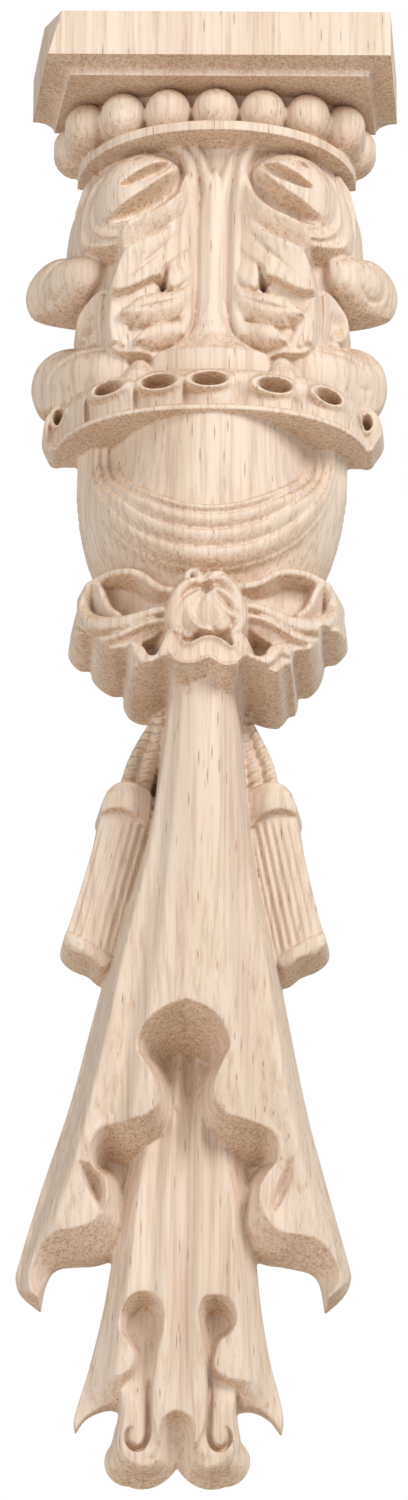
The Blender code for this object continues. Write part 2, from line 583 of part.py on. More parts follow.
# Bow, knot and ruffle
# Where the bow meets the wall: one bell after another, with a cusp between each two
BOW_BELLS = [[(-28, 50), (-33.4, 48.6), (-34.6, 44), (-34.6, 37), (-36.2, 31), (-36.2, 26.8),
              (-33.4, 23.4), (-30.2, 23.1)],
             [(-30.2, 23.1), (-29.6, 20.4), (-27.1, 17.6), (-24, 15.9), (-21.2, 16)],
             [(-21.2, 16), (-21.0, 12.6), (-19.4, 9.6), (-16.4, 8.0), (-13, 7.9), (-10, 9)],
             [(12, 9), (15, 8.0), (17.6, 7.2), (21, 7.0), (23.9, 8.8), (25.6, 12.2), (25.8, 15.7)],
             [(25.8, 15.7), (28.6, 15.9), (30.9, 18.2), (32.3, 21.4), (32.8, 24.9)],
             [(32.8, 24.9), (36, 25.6), (38.7, 29), (38.6, 33), (37.9, 38), (37.7, 44), (36, 48.8),
              (30, 51)]]
UNDER_LIP = [(-9.5, -2), (11.5, -2)]
BOW_FOOT = [point for bell in BOW_BELLS[:3] + [UNDER_LIP] + BOW_BELLS[3:] for point in smooth(bell)]
BOW_SHIFT = 1.0
# Half of the bow as it stands in front of the wall
BOW_OUTLINE = [(0, 30), (8.5, 33.2), (13, 35), (17.4, 39.4), (21, 41.4), (25, 42), (31, 42.2), (34, 40),
               (35.2, 36), (36, 32), (36.4, 28.5), (36.2, 25.4), (34, 22.9), (31, 21.4), (30.2, 18.6),
               (28.4, 15.4), (26.6, 13.4), (23.4, 13.6), (20.6, 12.2), (18.6, 9.6), (15, 8.6), (11, 8.8),
               (0, 12)]
BOW_DEPTH = [(36, 29, 8), (35.5, 34, 7), (33.5, 40.5, 8), (34.6, 25.4, 12), (32, 22.4, 20),
             (30.0, 19.6, 25), (27.4, 15.6, 29.5), (21, 13.5, 34), (15, 10.6, 38), (9, 12, 40),
             (12, 20, 33), (20, 21, 31), (27, 22.5, 28), (31, 27, 23), (28, 33, 21), (24, 37, 22),
             (15, 34.5, 30), (4, 28, 36)]


BOW_DROP = 0.6


def bow_side(points, side):
    """Points of the bow's right half put on either side. The knot sits left of the loops' middle, and the
    ribbons meet it a little lower on its left"""
    out = []
    for x, z, *rest in points:
        drop = BOW_DROP * side * (1 - ease(x, 12, 24)) * ease(z, 20, 22)
        out.append((x * side + BOW_SHIFT * ease(x, 6, 16), z + drop, *rest))
    return out


def bow(c):
    for side in (1, -1):
        def s(points):
            return bow_side(points, side)
        patch(c, 1, s(BOW_OUTLINE), s(BOW_DEPTH), steep=13)
        # the inside of the loop, and the pocket under the ribbon
        hollow(c,
               s([(8.6, 31.4), (12.6, 33.0), (16, 36.2), (19, 39.4), (23, 40.6), (27, 40.8), (30.4, 38),
                  (30.6, 33), (27.5, 28.6), (22, 26.6), (16, 28.2), (9.4, 28.6)]),
               s([(9, 30.4, 33.5), (14, 31.5, 27), (19, 34, 21.5), (25, 35, 18.5), (29, 37.5, 16.5),
                  (26, 40, 18), (27, 30, 20), (20, 29, 23), (13, 29, 28)]))
        hollow(c,
               s([(17.0, 19.4), (16.6, 16.6), (14.2, 14.0), (10.6, 14.2), (8.4, 18.0), (8.0, 21.6),
                  (8.6, 23.4), (11.5, 21.6), (14.6, 20.2)]),
               s([(16.6, 18.6, 29), (13.6, 15.2, 26), (10, 16, 26.5), (8.6, 21, 31), (12.2, 19.6, 27)]))
        # top ribbon of the loop, and the fold seen inside it
        c.blade(s([(7.5, 33.0, 1.0, 36.5), (11.5, 34.0, 1.0, 35.2), (14.6, 36.2, 1.0, 33.2),
                   (17.6, 39.2, 1.0, 31), (21.4, 41.1, 1.0, 28.5), (26, 41.7, 1.0, 25),
                   (30.2, 41.0, 1.1, 21)]),
                lambda t: 0.4 * (1 - t * t), steep=7)
        c.blade(s([(30.4, 41.0, 0.9, 20.5), (28.9, 38.4, 0.9, 22), (27.8, 35.2, 0.9, 23),
                   (26.4, 31.8, 0.9, 25), (24.0, 28.8, 0.9, 28)]),
                lambda t: 0.8 * (1 - t * t), steep=4)
        # the ribbon that comes round under the loop
        c.blade(s([(8.8, 27.0, 1.0, 37.6), (13, 27.0, 1.2, 36.8), (17, 26.0, 1.5, 35.4),
                   (21.5, 24.9, 1.9, 33.0), (26, 25.4, 2.2, 30), (29.9, 27.6, 2.2, 26),
                   (32.6, 31.6, 1.9, 21), (33.2, 36, 1.6, 17.5), (31.6, 40.2, 1.4, 19.5)]),
                lambda t: 1.0 - 1.2 * t ** 4, steep=5, count=140)
        # the ribbon end under that, its face and its edge
        patch(c, 1,
              s([(8.6, 24.2), (14.5, 24.0), (19, 22.8), (23.6, 21.2), (27.6, 21.2), (26.6, 18.6),
                 (21, 18.2), (15, 19.6), (9.6, 23.2)]),
              s([(9, 23.8, 37), (14.5, 23.4, 35.8), (19, 22.2, 34), (23.6, 20.6, 32), (27.0, 20.4, 29),
                 (24.6, 18.8, 28.5), (15, 20.2, 33.6), (10, 23.2, 36)]),
              steep=12)
        c.blade(s([(8.6, 24.2, 0.7, 38), (12.5, 24.1, 0.7, 37.4), (15.8, 23.6, 0.8, 36.4),
                   (19.0, 22.5, 0.8, 35.0), (23.5, 21.0, 0.9, 32.8), (27.6, 20.9, 0.9, 30),
                   (31.4, 22.4, 0.9, 26.6), (33.8, 26.2, 0.9, 22), (34.4, 29.6, 0.8, 17.5)]),
                lambda t: 0.5 * (1 - t * t), steep=4, count=140)
    knot(c)


def knot(c):
    # the ring of ribbon round the bud: a broad band with its inner edge turned in
    patch(c, 1,
          [(0.8, 35.6), (4.6, 36.8), (8.0, 33.4), (10.2, 29.0), (11.2, 25.0), (10.6, 20.6), (9.0, 17.8),
           (4, 16.4), (-2, 16.4), (-6.4, 18.6), (-9.2, 21.6), (-9.9, 25.0), (-9.4, 28.6), (-8.2, 31.8),
           (-6.2, 33.8), (-3.2, 34.8)],
          [(0.8, 35, 38.2), (4.6, 36, 37.6), (8.4, 31.4, 38.6), (10.4, 26.6, 38.4), (9.4, 20, 39),
           (1, 17.5, 37), (-6.4, 20, 38.6), (-9.4, 25, 37.8), (-7.9, 31.2, 38.0), (-3.4, 34, 38.4),
           (1, 28, 38.2), (-6.6, 26, 38.2), (8.2, 26.6, 38.4)],
          steep=14, soft=0.5)
    c.blade([(-0.6, 33.4, 0.7, 39.2), (-2.8, 34.0, 1.0, 39.4), (-5.2, 32.8, 1.2, 39.5),
             (-7.0, 30.4, 1.3, 39.6), (-8.0, 27.0, 1.5, 39.8), (-8.3, 23.6, 1.5, 40),
             (-7.6, 20.8, 1.3, 40.4), (-6.0, 19.0, 1.0, 40.8)],
            lambda t: 0.9 * (1 - t * t), steep=7)
    c.blade([(3.4, 34.9, 0.8, 38.8), (5.6, 34.6, 1.2, 39.1), (7.9, 31.6, 1.3, 39.4),
             (9.5, 28.0, 1.2, 39.6), (10.1, 24.4, 1.2, 39.8), (9.4, 21.0, 1.3, 40.4),
             (7.9, 18.8, 1.0, 40.8)],
            lambda t: 0.9 * (1 - t * t), steep=7)
    # the ribbon's loops above the bud
    c.blade([(-4.9, 34.4, 0.7, 38.4), (-4.4, 36.4, 0.8, 38.2), (-3.2, 37.4, 0.8, 38.2),
             (-1.9, 36.6, 0.8, 38.8), (-1.2, 34.4, 0.7, 39.8)],
            lambda t: 0.6 * (1 - t * t), steep=5)
    c.blade([(1.4, 34.2, 0.7, 39.8), (2.4, 35.9, 0.9, 39.2), (4.2, 36.6, 0.9, 38.4)],
            lambda t: 0.6 * (1 - t * t), steep=4)
    # petals of the bud, gathered at a small hole
    patch(c, 1,
          [(-0.2, 30.8), (-2.4, 29.8), (-4.4, 28.4), (-6.2, 26.2), (-7.0, 23.4), (-6.9, 20.6),
           (-5.4, 18.4), (-3.0, 18.0), (-0.4, 19.2), (1.6, 19.6), (0.6, 22), (-0.6, 24.6), (-0.2, 28)],
          [(-0.6, 30.2, 40.2), (-3.4, 28.4, 40.2), (-5.8, 25.4, 39.8), (-6.4, 21, 39.6),
           (-4.6, 18.8, 39.2), (-3.0, 26.4, 40.4), (-4.6, 22, 38.8), (-2.6, 20, 39.6), (-1.2, 24, 40.4),
           (0.4, 20.2, 40.8)],
          steep=5, soft=0.4)
    c.blade([(-0.6, 30.6, 0.6, 40.6), (-3.6, 28.6, 0.8, 40.6), (-5.9, 26.0, 0.9, 40.4),
             (-6.7, 23.2, 0.9, 40.3), (-6.5, 20.4, 0.7, 40.2)],
            lambda t: 0.5 * (1 - t * t), steep=2)
    c.blade([(-2.4, 28.6, 0.6, 40.6), (-3.9, 26.6, 0.7, 40.9), (-3.7, 24.2, 0.7, 41.1),
             (-2.7, 22.0, 0.7, 41.4), (-0.9, 20.3, 0.7, 41.6), (1.7, 19.4, 0.6, 41.6)],
            lambda t: 0.5 * (1 - t * t), steep=2)
    patch(c, 1,
          [(0.6, 30.4), (-0.4, 28.4), (-1.2, 26.6), (-1.5, 24.6), (-0.9, 22.6), (0.5, 20.9), (2.4, 19.9),
           (4.8, 19.3), (6.8, 20.4), (7.4, 22.4), (6.4, 24.6), (4.4, 27.0), (2.4, 29.6)],
          [(0.7, 29.8, 40.8), (-1.0, 25, 41.0), (0.6, 22, 41.6), (3.6, 20.2, 41.4), (6.6, 21.6, 41.2),
           (6.0, 24.6, 41.6), (4.0, 27, 41.4), (2.6, 25, 42.4), (3.2, 22.6, 42.8), (0.8, 26.6, 42.0)],
          steep=5, soft=0.4)
    patch(c, 1,
          [(2.2, 31.6), (5.0, 30.7), (7.6, 28.3), (8.9, 25.6), (8.5, 23.4), (7.2, 23.6), (5.4, 25.4),
           (3.7, 27.5), (2.0, 29.9)],
          [(2.4, 31.0, 40.4), (5.2, 30.0, 40.2), (8.2, 26.2, 40), (8.0, 24.0, 40.4), (5.4, 27.4, 39.2),
           (7.0, 26.2, 39.2), (3.2, 29.6, 39.8)],
          steep=5, soft=0.3)
    c.blade([(1.9, 31.6, 0.6, 40.6), (5.0, 30.5, 0.7, 40.8), (7.7, 28.2, 0.7, 40.8),
             (8.8, 25.8, 0.7, 40.8)],
            lambda t: 0.5 * (1 - t * t), steep=2)
    c.blade([(1.9, 30.2, 0.6, 41.0), (3.8, 27.2, 0.7, 41.6), (5.6, 25.0, 0.7, 41.9),
             (7.8, 23.5, 0.7, 41.7)],
            lambda t: 0.5 * (1 - t * t), steep=2)
    # the hole, and the small grooves that run into it
    c.blade([(0.6, 33.8, 0.9, 39.0), (1.0, 36.2, 1.1, 37.6)], lambda t: 0.5 * (1 - t * t), steep=3)
    hollow(c,
           [(0.7, 33.9), (2.1, 33.4), (2.6, 32.1), (2.0, 30.8), (0.7, 30.3), (-0.6, 30.8), (-1.0, 32.1),
            (-0.6, 33.4)],
           [(0.7, 33.8, 38), (2.4, 32, 37), (0.7, 30.4, 36.6), (-0.8, 32, 37), (0.7, 32, 35)], steep=1)
    c.groove([(-1.0, 29.9, 0.4, 0.4), (-0.2, 31.0, 0.5, 1.0)])
    c.groove([(0.1, 29.4, 0.4, 0.4), (0.4, 30.8, 0.5, 1.0)])
    hollow(c,
           [(-4.2, 17.2), (-2.8, 18.4), (-0.6, 19.4), (1.6, 18.8), (4.6, 18.6), (7.0, 19.6), (6.6, 17.0),
            (4.6, 15.6), (0, 16.4), (-2.8, 15.2)],
           [(-3.4, 17.2, 38), (0, 18.6, 36.0), (5, 17.4, 36), (6.8, 18.6, 38)], steep=3)


# The ruffle's rim, from under the ribbon end to the lip in the middle
RIM = [(27.2, 20.6, 1.1, 28.5), (26.8, 18.0, 1.2, 30.5), (24.4, 16.2, 1.3, 32), (21.6, 16.0, 1.5, 34),
       (19.6, 16.6, 1.6, 35.5), (17.8, 15.2, 1.6, 37), (16.2, 12.4, 1.5, 38.5), (13.6, 11.4, 1.5, 39.6),
       (11.0, 12.4, 1.6, 40.4), (9.4, 15.4, 1.6, 41), (8.6, 19.0, 1.2, 40)]
LIP = [(-7.4, 17.8, 1.3, 41), (-7.0, 14.9, 2.1, 41.4), (-5.2, 12.7, 2.6, 41.8), (-2.8, 12.4, 2.8, 42.0),
       (-0.4, 13.6, 2.9, 42.1), (1.8, 14.4, 3.0, 42.2), (4.0, 13.6, 2.9, 42.1), (6.4, 12.0, 2.8, 42.0),
       (8.9, 12.7, 2.4, 41.6), (10.2, 15.4, 1.9, 41.2), (8.6, 18.4, 1.2, 41)]


BELL_RIM = [(-9.6, 12.6), (-7.8, 10.4), (-5, 9.4), (-2.7, 9.5), (-0.6, 10.4), (1.8, 10.9), (3.6, 10.2),
            (6, 8.9), (8.6, 9.1), (11.0, 10.6), (12.2, 13), (8, 15), (0, 15.6), (-6, 15)]


def bell_fall(x, z):
    """How steeply the bell under the lip runs back: gently over the drape, steeply beside it"""
    return 2.4 + 7 * ease(np.abs(x - 0.6), 7, 10.5)


def ruffle(c):
    for side in (1, -1):
        def s(points):
            return bow_side(points, side)
        c.blade(s(RIM), lambda t: 0.8 * (1 - t ** 4), steep=8, count=160)
    # the bell under the lip, which runs back to the drape
    c.plateau(smooth(BELL_RIM, closed=True), lambda x, z: 40.8 - 0.03 * (x - 1) ** 2, steep=bell_fall)
    for x0, z0, x1, z1 in ((-3.6, 11.2, -3.6, 5.2), (4.4, 11.6, 4.2, 5.2)):
        c.groove([(x0, z0, 0.7, 0.4), (0.5 * (x0 + x1), 0.5 * (z0 + z1), 1.3, 1.4), (x1, z1, 1.3, 0.8)])
    c.blade(LIP, lambda t: 1.5 * t ** 4 - 0.6, steep=6, count=140)
    trim(c, BOW_FOOT, 4, 45)


# Drape
DRAPE_WIDTH = [(14, 9.5), (3.6, 10.9), (-29, 14.6), (-65, 23.2), (-98, 30.2), (-121, 36.2), (-141, 42.0),
               (-148, 43.0), (-156, 43.0)]
# Lines of the folds from the middle out: height, share of the half width, depth
DRAPE_FOLDS = [[(14, 0, 35), (-29, 0, 34.4), (-65, 0, 32), (-98, 0, 27.5), (-150, 0, 17)],
               [(14, 0.42, 33.8), (-29, 0.40, 32.8), (-65, 0.38, 30.4), (-98, 0.42, 25.8),
                (-121, 0.45, 20.6), (-150, 0.45, 15)],
               [(14, 0.66, 31.2), (-29, 0.62, 29.2), (-65, 0.60, 25.6), (-98, 0.60, 20.8),
                (-121, 0.64, 15.6), (-150, 0.62, 13)],
               [(14, 0.80, 29.6), (-29, 0.78, 27.8), (-65, 0.78, 25.2), (-98, 0.80, 22.4),
                (-116, 0.81, 18.6), (-135, 0.83, 13.8), (-150, 0.84, 11)],
               [(14, 0.93, 21), (-29, 0.92, 19), (-65, 0.91, 15.4), (-98, 0.91, 13.5), (-121, 0.91, 11.6),
                (-150, 0.93, 8.6)],
               [(14, 1, 8), (-29, 1, 5.5), (-65, 1, 4), (-98, 1, 3.5), (-121, 1, 3), (-150, 1, 2.5)]]


def drape_fall(x, z):
    """How steeply the drape's hems fall to the wall: less so at the wings"""
    return 4.2 - 2.0 * ease(-z, 124, 134)


def drape_depth(x, z):
    return folds(DRAPE_FOLDS, knots(z, DRAPE_WIDTH), x, z)


SIDE_LEFT = [(-9.5, 14), (-10.6, 3.6), (-14.2, -29), (-23.8, -65), (-31.2, -98), (-37.8, -121),
             (-42.9, -140.5), (-43.8, -145.5), (-42.3, -149.8), (-37.3, -154)]
SIDE_RIGHT = [(9.5, 14), (11.6, 3.6), (15.2, -29), (22.8, -65), (29.8, -98), (36.1, -121), (41.8, -140.5),
              (42.6, -145.5), (40.6, -150), (36.4, -154)]
HEM_LEFT = [(-37.1, -154.2), (-39.0, -151.4), (-40.2, -147.8), (-39.9, -143.4), (-37.6, -138.4),
            (-33.2, -136.0), (-26.8, -134.6), (-22.8, -132.3), (-20.8, -127.8), (-21.6, -122.4),
            (-24.6, -119.4), (-25.3, -115.6), (-23.8, -111.4), (-21.2, -109.0), (-16.3, -108.6),
            (-11.6, -108), (-8.5, -105.2), (-8.8, -100.4), (-10.9, -95.9), (-13.8, -91), (-13.6, -86.4),
            (-11.2, -83), (-6.6, -80), (-1.4, -78.4)]
HEM_RIGHT = [(36.4, -154.2), (38.6, -150.8), (39.8, -146.6), (38.6, -142.2), (36.4, -139.4),
             (31.8, -137.1), (24.8, -136.1), (21.0, -133.6), (19.0, -129.4), (18.9, -125.2),
             (20.6, -121.2), (22.9, -117.4), (22.6, -112.8), (19.6, -109.2), (14.0, -108.6),
             (9.4, -107.4), (6.4, -103.4), (6.5, -98.6), (8.6, -93.6), (9.9, -89.8), (8.3, -85),
             (4.6, -81), (-1.4, -78.4)]
WING_FOOT_LEFT = [(-37.4, -154), (-36.9, -150), (-36.1, -146.6), (-34.7, -143.8), (-32.2, -142.4),
                  (-28.1, -142.0), (-23.7, -141.7), (-18, -140)]
WING_FOOT_RIGHT = [(36.4, -154), (35.7, -149.5), (34.5, -145.6), (32.2, -143.4), (28.4, -142.4),
                   (24.7, -141.7), (21.0, -141.2), (16, -139.5)]


def drape(c):
    sides = smooth(SIDE_LEFT[::-1]) + smooth(SIDE_RIGHT)
    outline = smooth(HEM_LEFT)[::-1] + sides + smooth(HEM_RIGHT)
    foot = [(-12, -165)] + smooth(WING_FOOT_LEFT)[::-1] + sides + smooth(WING_FOOT_RIGHT) + [(12, -165)]
    # a thin ground joins the whole drape at the wall
    c.plateau(foot, lambda x, z: 3.0 + 0 * x, steep=12)
    c.plateau(outline, drape_depth, steep=drape_fall, squash=0.6, foot=foot)
    # the hem turns over itself at the notch above the left wing
    c.groove([(-27.6, -119.2, 0.8, 1.0), (-25.6, -121.2, 2.0, 4.2), (-23.6, -124.2, 2.4, 5.0),
              (-22.4, -128, 1.6, 2.6), (-22.2, -131.5, 0.8, 0.4)])
    c.groove([(26.8, -117.5, 0.7, 0.5), (25.4, -122, 1.5, 2.0), (23.6, -126.5, 1.6, 2.4),
              (22.0, -131, 1.1, 0.8)])
    # thin rim along the arch and its ends
    for pts in ([(-24.6, -119.4, 0.9, 0), (-25.6, -115.4, 0.9, 0.9), (-24.2, -110.8, 0.9, 0.9),
                 (-21.4, -107.6, 0.8, 0)],
                [(22.4, -120, 0.9, 0), (23.4, -116.4, 0.9, 0.8), (22.8, -111.8, 0.9, 0.8),
                 (20, -107.9, 0.8, 0)]):
        c.groove([(x, z, half, -lift) for x, z, half, lift in pts])


# Tail under the drape
TAIL_WIDTH = [(-80, 8), (-100, 12), (-128, 18), (-150, 20.3), (-170, 23), (-186, 27)]
TAIL_FOLDS = [[(-80, 0, 3), (-95, 0, 6.5), (-110, 0, 10.8), (-150, 0, 11.0), (-186, 0, 10.5)],
              [(-80, 0.2, 5), (-95, 0.26, 11), (-110, 0.26, 15.2), (-150, 0.22, 15.2),
               (-186, 0.16, 11.6)],
              [(-80, 0.4, 5), (-95, 0.44, 9.5), (-110, 0.46, 12.4), (-150, 0.46, 12.6), (-186, 0.4, 10)],
              [(-80, 0.6, 4), (-95, 0.62, 8), (-110, 0.64, 11.5), (-150, 0.66, 14.0), (-170, 0.66, 11.8),
               (-186, 0.7, 7.5)],
              [(-80, 0.85, 4), (-110, 0.82, 8), (-150, 0.86, 7.4), (-170, 0.84, 7.6), (-186, 0.88, 5.5)],
              [(-80, 1, 3), (-110, 1, 3.5), (-150, 1, 3), (-186, 1, 2.5)]]
TAIL_LEFT = [(-10, -80), (-18, -128), (-19.4, -141.6), (-21.2, -154.5), (-24.2, -169), (-26.6, -178),
             (-27.7, -183), (-27.3, -186.2)]
TAIL_RIGHT = [(10, -80), (17.5, -128), (18.4, -141.5), (20, -154.3), (22.4, -167), (25.2, -177),
              (26.2, -182.5), (25.8, -186.8)]
TAIL_HEM_LEFT = [(-27.3, -186.2), (-27.0, -183.4), (-26.0, -178.6), (-24.2, -175.2), (-21.5, -174),
                 (-15.8, -173.3), (-13.1, -171.2), (-12.6, -167.9), (-14.3, -164.9), (-16.2, -162),
                 (-16.5, -159), (-16.0, -155.9), (-14.2, -153.3), (-11, -151.6), (-8.2, -152.3),
                 (-6.1, -154.7), (-5.1, -157.8)]
TAIL_HEM_RIGHT = [(3.5, -157.4), (4.6, -153.9), (7.5, -152.4), (10.8, -153.3), (13.1, -156.2),
                  (13.5, -159.9), (11.8, -162.9), (9.6, -164.4), (8.4, -168), (8.4, -171.4),
                  (11.3, -173.7), (15.7, -174.5), (20.0, -174.3), (22.8, -177.2), (24.9, -182),
                  (25.8, -186.8)]
TAIL_FOOT_LEFT = [(-27.3, -186.6), (-24.8, -182.8), (-21.6, -180.9), (-18.3, -180.2), (-15, -181)]
TAIL_FOOT_RIGHT = [(25.9, -187), (22.9, -183), (19.7, -181), (16.7, -180.4), (13, -181.2)]
MIDDLE_BAND = [(-5.1, -157.8), (-5.2, -162), (-6.4, -168), (-7.4, -175), (-7.4, -181), (-6.8, -186),
               (-5.4, -190), (-3.8, -191), (-3.2, -187), (-2.8, -184), (-0.9, -182.4), (1.4, -184),
               (1.9, -187), (2.6, -191), (4.4, -190), (5.8, -186), (6.2, -181), (6.0, -175), (5.4, -168),
               (4.3, -162), (3.5, -157.4)]
# Front of the two lobes, over which the middle band parts
LOBES = [(-6.2, -150), (-12.5, -152), (-16.5, -164), (-16.5, -172), (-16.3, -181), (-17.2, -185.5),
         (-17.8, -190.0), (-16.8, -194.0), (-13.8, -197.2), (-9.4, -198.4), (-5.6, -197.4),
         (-3.0, -194.6), (-2.0, -192.9), (-0.4, -192.2), (1.0, -193.0), (1.9, -195.2), (3.7, -197.6),
         (6.7, -198.8), (11.2, -197.6), (14.7, -194.0), (15.6, -190), (14.9, -185.3), (14.3, -181.2),
         (14.5, -172), (13.6, -164), (10.5, -152)]


def tail_fall(x, z):
    """How steeply the tail's hems fall to the wall: gently at the two tips"""
    return 4.0 - 2.9 * ease(np.abs(x), 12, 17) * ease(-z, 168, 175)


def tail_depth(x, z):
    return folds(TAIL_FOLDS, knots(z, TAIL_WIDTH), x + 0.6, z)


def tail(c):
    lobes = smooth(LOBES, closed=True)
    w = c.window(-30, 30, -203, -148)
    X, Z = c.X[w], c.Z[w]
    out = c.outside(lobes, w)
    swell = 1.3 * np.exp(-(((np.abs(X + 0.9) - 11) / 4) ** 2)) * ease(-Z, 172, 190)
    front = knots(Z, [(-150, 4), (-160, 5.0), (-172, 7.2), (-182, 8.2), (-200, 7.6)]) + swell
    front = front - 3.4 * (1 - ease(-out, 0, 3.2)) ** 2 * ease(-Z, 176, 186) - 8 * np.maximum(0, out)
    c.D[w] = np.maximum(c.D[w], np.minimum(front, -12 * out))
    sides = smooth(TAIL_LEFT)[::-1] + smooth(TAIL_RIGHT)
    outline = sides + smooth(TAIL_HEM_RIGHT)[::-1] + smooth(MIDDLE_BAND)[::-1] + smooth(TAIL_HEM_LEFT)[::-1]
    foot = sides + smooth(TAIL_FOOT_RIGHT) + [(10, -196), (-10, -196)] + smooth(TAIL_FOOT_LEFT)[::-1]
    c.plateau(outline, tail_depth, steep=tail_fall, squash=0.6, foot=foot)
    # the band parts into two rolls that run out over the lobes
    for side, x0 in ((-1, -1.0), (1, -0.6)):
        c.blade([(x0 + 3.4 * side, -178, 2.0, 11.0), (x0 + 4.0 * side, -184, 2.2, 10.6),
                 (x0 + 5.2 * side, -189, 2.4, 9.8), (x0 + 8.0 * side, -193.2, 2.4, 9.0),
                 (x0 + 12 * side, -193.4, 2.0, 8.4)],
                lambda t: -1.2 * t * t, steep=1.6)
    # the notch between them slopes back to the wall
    notch = smooth([(-5.4, -187), (-4.2, -183.4), (-1.0, -180.8), (2.3, -183.4), (3.5, -187), (3.2, -192),
                    (2.4, -197), (-3.8, -197), (-5.0, -192)],
                   closed=True)
    w = c.window(-8, 7, -197, -179)
    out = c.outside(notch, w)
    slope = knots(c.Z[w],
                  [(-181, 9.5), (-184, 6.8), (-188, 4.2), (-192, 2.2),
                   (-196, 1.5)]) + 2.5 * np.maximum(0, 2.2 + out)
    c.D[w] = np.where(out < 0, np.minimum(c.D[w], slope), c.D[w])
    # scrolls: the stem's line and its curl
    for side, x0 in ((-1, -10.9), (1, 9.7)):
        c.groove([(x0 - 3.6 * side, -170, 0.6, 1.0), (x0 - 2.6 * side, -176, 0.8, 2.6),
                  (x0 - 2.5 * side, -184, 0.9, 2.8), (x0 - 2.5 * side, -188, 1.0, 3.4),
                  (x0 - 1.4 * side, -191.0, 0.9, 3.6), (x0 + 0.6 * side, -191.9, 0.9, 3.6),
                  (x0 + 2.5 * side, -190.2, 0.9, 3.4), (x0 + 2.8 * side, -187.8, 0.8, 2.8),
                  (x0 + 1.6 * side, -186.4, 0.5, 1.0)],
                 count=140)


# Tassels
CORDS = [[(10.4, 12, 1.5, 8), (12.6, 5.6, 1.7, 9), (15.0, 0.6, 1.9, 9), (17.6, -5.6, 2.1, 9),
          (19.8, -14, 2.2, 8.5)],
         [(9.6, 12, 1.4, 10), (10.8, 5, 1.6, 10.5), (12.0, -1, 1.8, 10.5), (13.7, -7, 2.1, 10.5),
          (15.4, -15, 2.2, 9.5)]]
CAP = [(13.0, -15.6), (16.6, -13.6), (20.9, -13.4), (24.0, -15.4), (25.6, -19.2), (25.8, -21.6),
       (22.9, -21.0), (19.4, -21.6), (16.2, -23.2), (13.6, -25.4), (12.8, -21)]
SKIRT = [(13.6, -25.6), (16.4, -23.0), (19.6, -21.2), (22.9, -20.6), (25.6, -21.2), (27.4, -30),
         (30.2, -41.5), (32.8, -51), (34.2, -55.4), (34.2, -58), (31.6, -60.2), (27.6, -61.8),
         (23.4, -64.6), (20.4, -58), (17.2, -46)]


def tassels(c):
    for side in (1, -1):
        for path in CORDS:
            p = curve(sided(path, side), 90)
            w = c.around(p, 3)
            d, place, _ = c.nearest(p, w)
            half = read(p, place, 2)
            roll = np.sqrt(np.clip(1 - (d / half) ** 2, 0, 1))
            height = read(p, place, 3) * 0.6 + half * roll * 1.5 - 20 * np.maximum(0, d - half)
            c.D[w] = np.maximum(c.D[w], np.where(d < half, height, GROUND))

        def skirt(x, z):
            across = np.abs(x) - 19.2 + (z + 20) * 0.225
            down = -z + 0.61 * (np.abs(x) - 23.4)
            rim = np.sqrt(np.clip(1 - ((down - 62.4) / 2.4) ** 2, 0, 1))
            height = 12.6 - 0.035 * across ** 2 + 1.2 * rim
            return height

        def cap(x, z):
            band = np.clip(1 - ((z + 19.0) / 4.5) ** 2, 0, 1)
            return 14.6 - 0.06 * (np.abs(x) - 19.2) ** 2 + 1.2 * band

        c.plateau(smooth(sided(SKIRT, side), closed=True), skirt, steep=9, squash=0.9)
        c.plateau(smooth(sided(CAP, side), closed=True), cap, steep=7)


def carve(cell=CELL):
    c = Carving(cell)
    tail(c)
    drape(c)
    bulb(c)
    bow(c)
    ruffle(c)
    tassels(c)
    capital(c)
    collar(c)
    beads(c)
    disc(c)
    return c


# Top block
CLIP_SLOPE = 2.1


def block_ring(z, inset):
    """The five corners of the block at one height, from its back left round to its back right"""
    clip = 0.2 + 3.5 * min(max((z - FASCIA_FOOT) / 13, 0), 1)
    flare = (BLOCK_FRONT_LEFT - BLOCK_LEFT) / BLOCK_DEPTH
    clip_depth = BLOCK_DEPTH - clip * CLIP_SLOPE / (1 - CLIP_SLOPE * flare)
    return [(BLOCK_LEFT + inset - flare * OVERRUN, OVERRUN, z),
            (BLOCK_LEFT + inset + flare * clip_depth, inset - clip_depth, z),
            (BLOCK_FRONT_LEFT + inset + clip, inset - BLOCK_DEPTH, z),
            (BLOCK_FRONT_RIGHT - inset, inset - BLOCK_DEPTH, z), (BLOCK_RIGHT - inset + 0.2, OVERRUN, z)]


def block():
    steps = 5
    angles = [0.5 * np.pi * k / steps for k in range(steps + 1)]
    cavetto = [(SOFFIT + (FASCIA_FOOT - SOFFIT) * np.sin(a), CAVETTO * np.cos(a)) for a in angles]
    rings = [block_ring(z, inset) for z, inset in cavetto] + [block_ring(TOP, 0)]
    return loft(rings)


def loft(rings):
    """A closed mesh through rings of equal length, from the lowest up"""
    build = bmesh.new()
    loops = [[build.verts.new([MM * value for value in point]) for point in ring] for ring in rings]
    size = len(rings[0])
    for low, high in zip(loops[:-1], loops[1:]):
        for k in range(size):
            build.faces.new((low[k], low[(k + 1) % size], high[(k + 1) % size], high[k]))
    build.faces.new(loops[0][::-1])
    build.faces.new(loops[-1])
    bmesh.ops.recalc_face_normals(build, faces=build.faces[:])
    mesh = bpy.data.meshes.new("block")
    build.to_mesh(mesh)
    build.free()
    return mesh


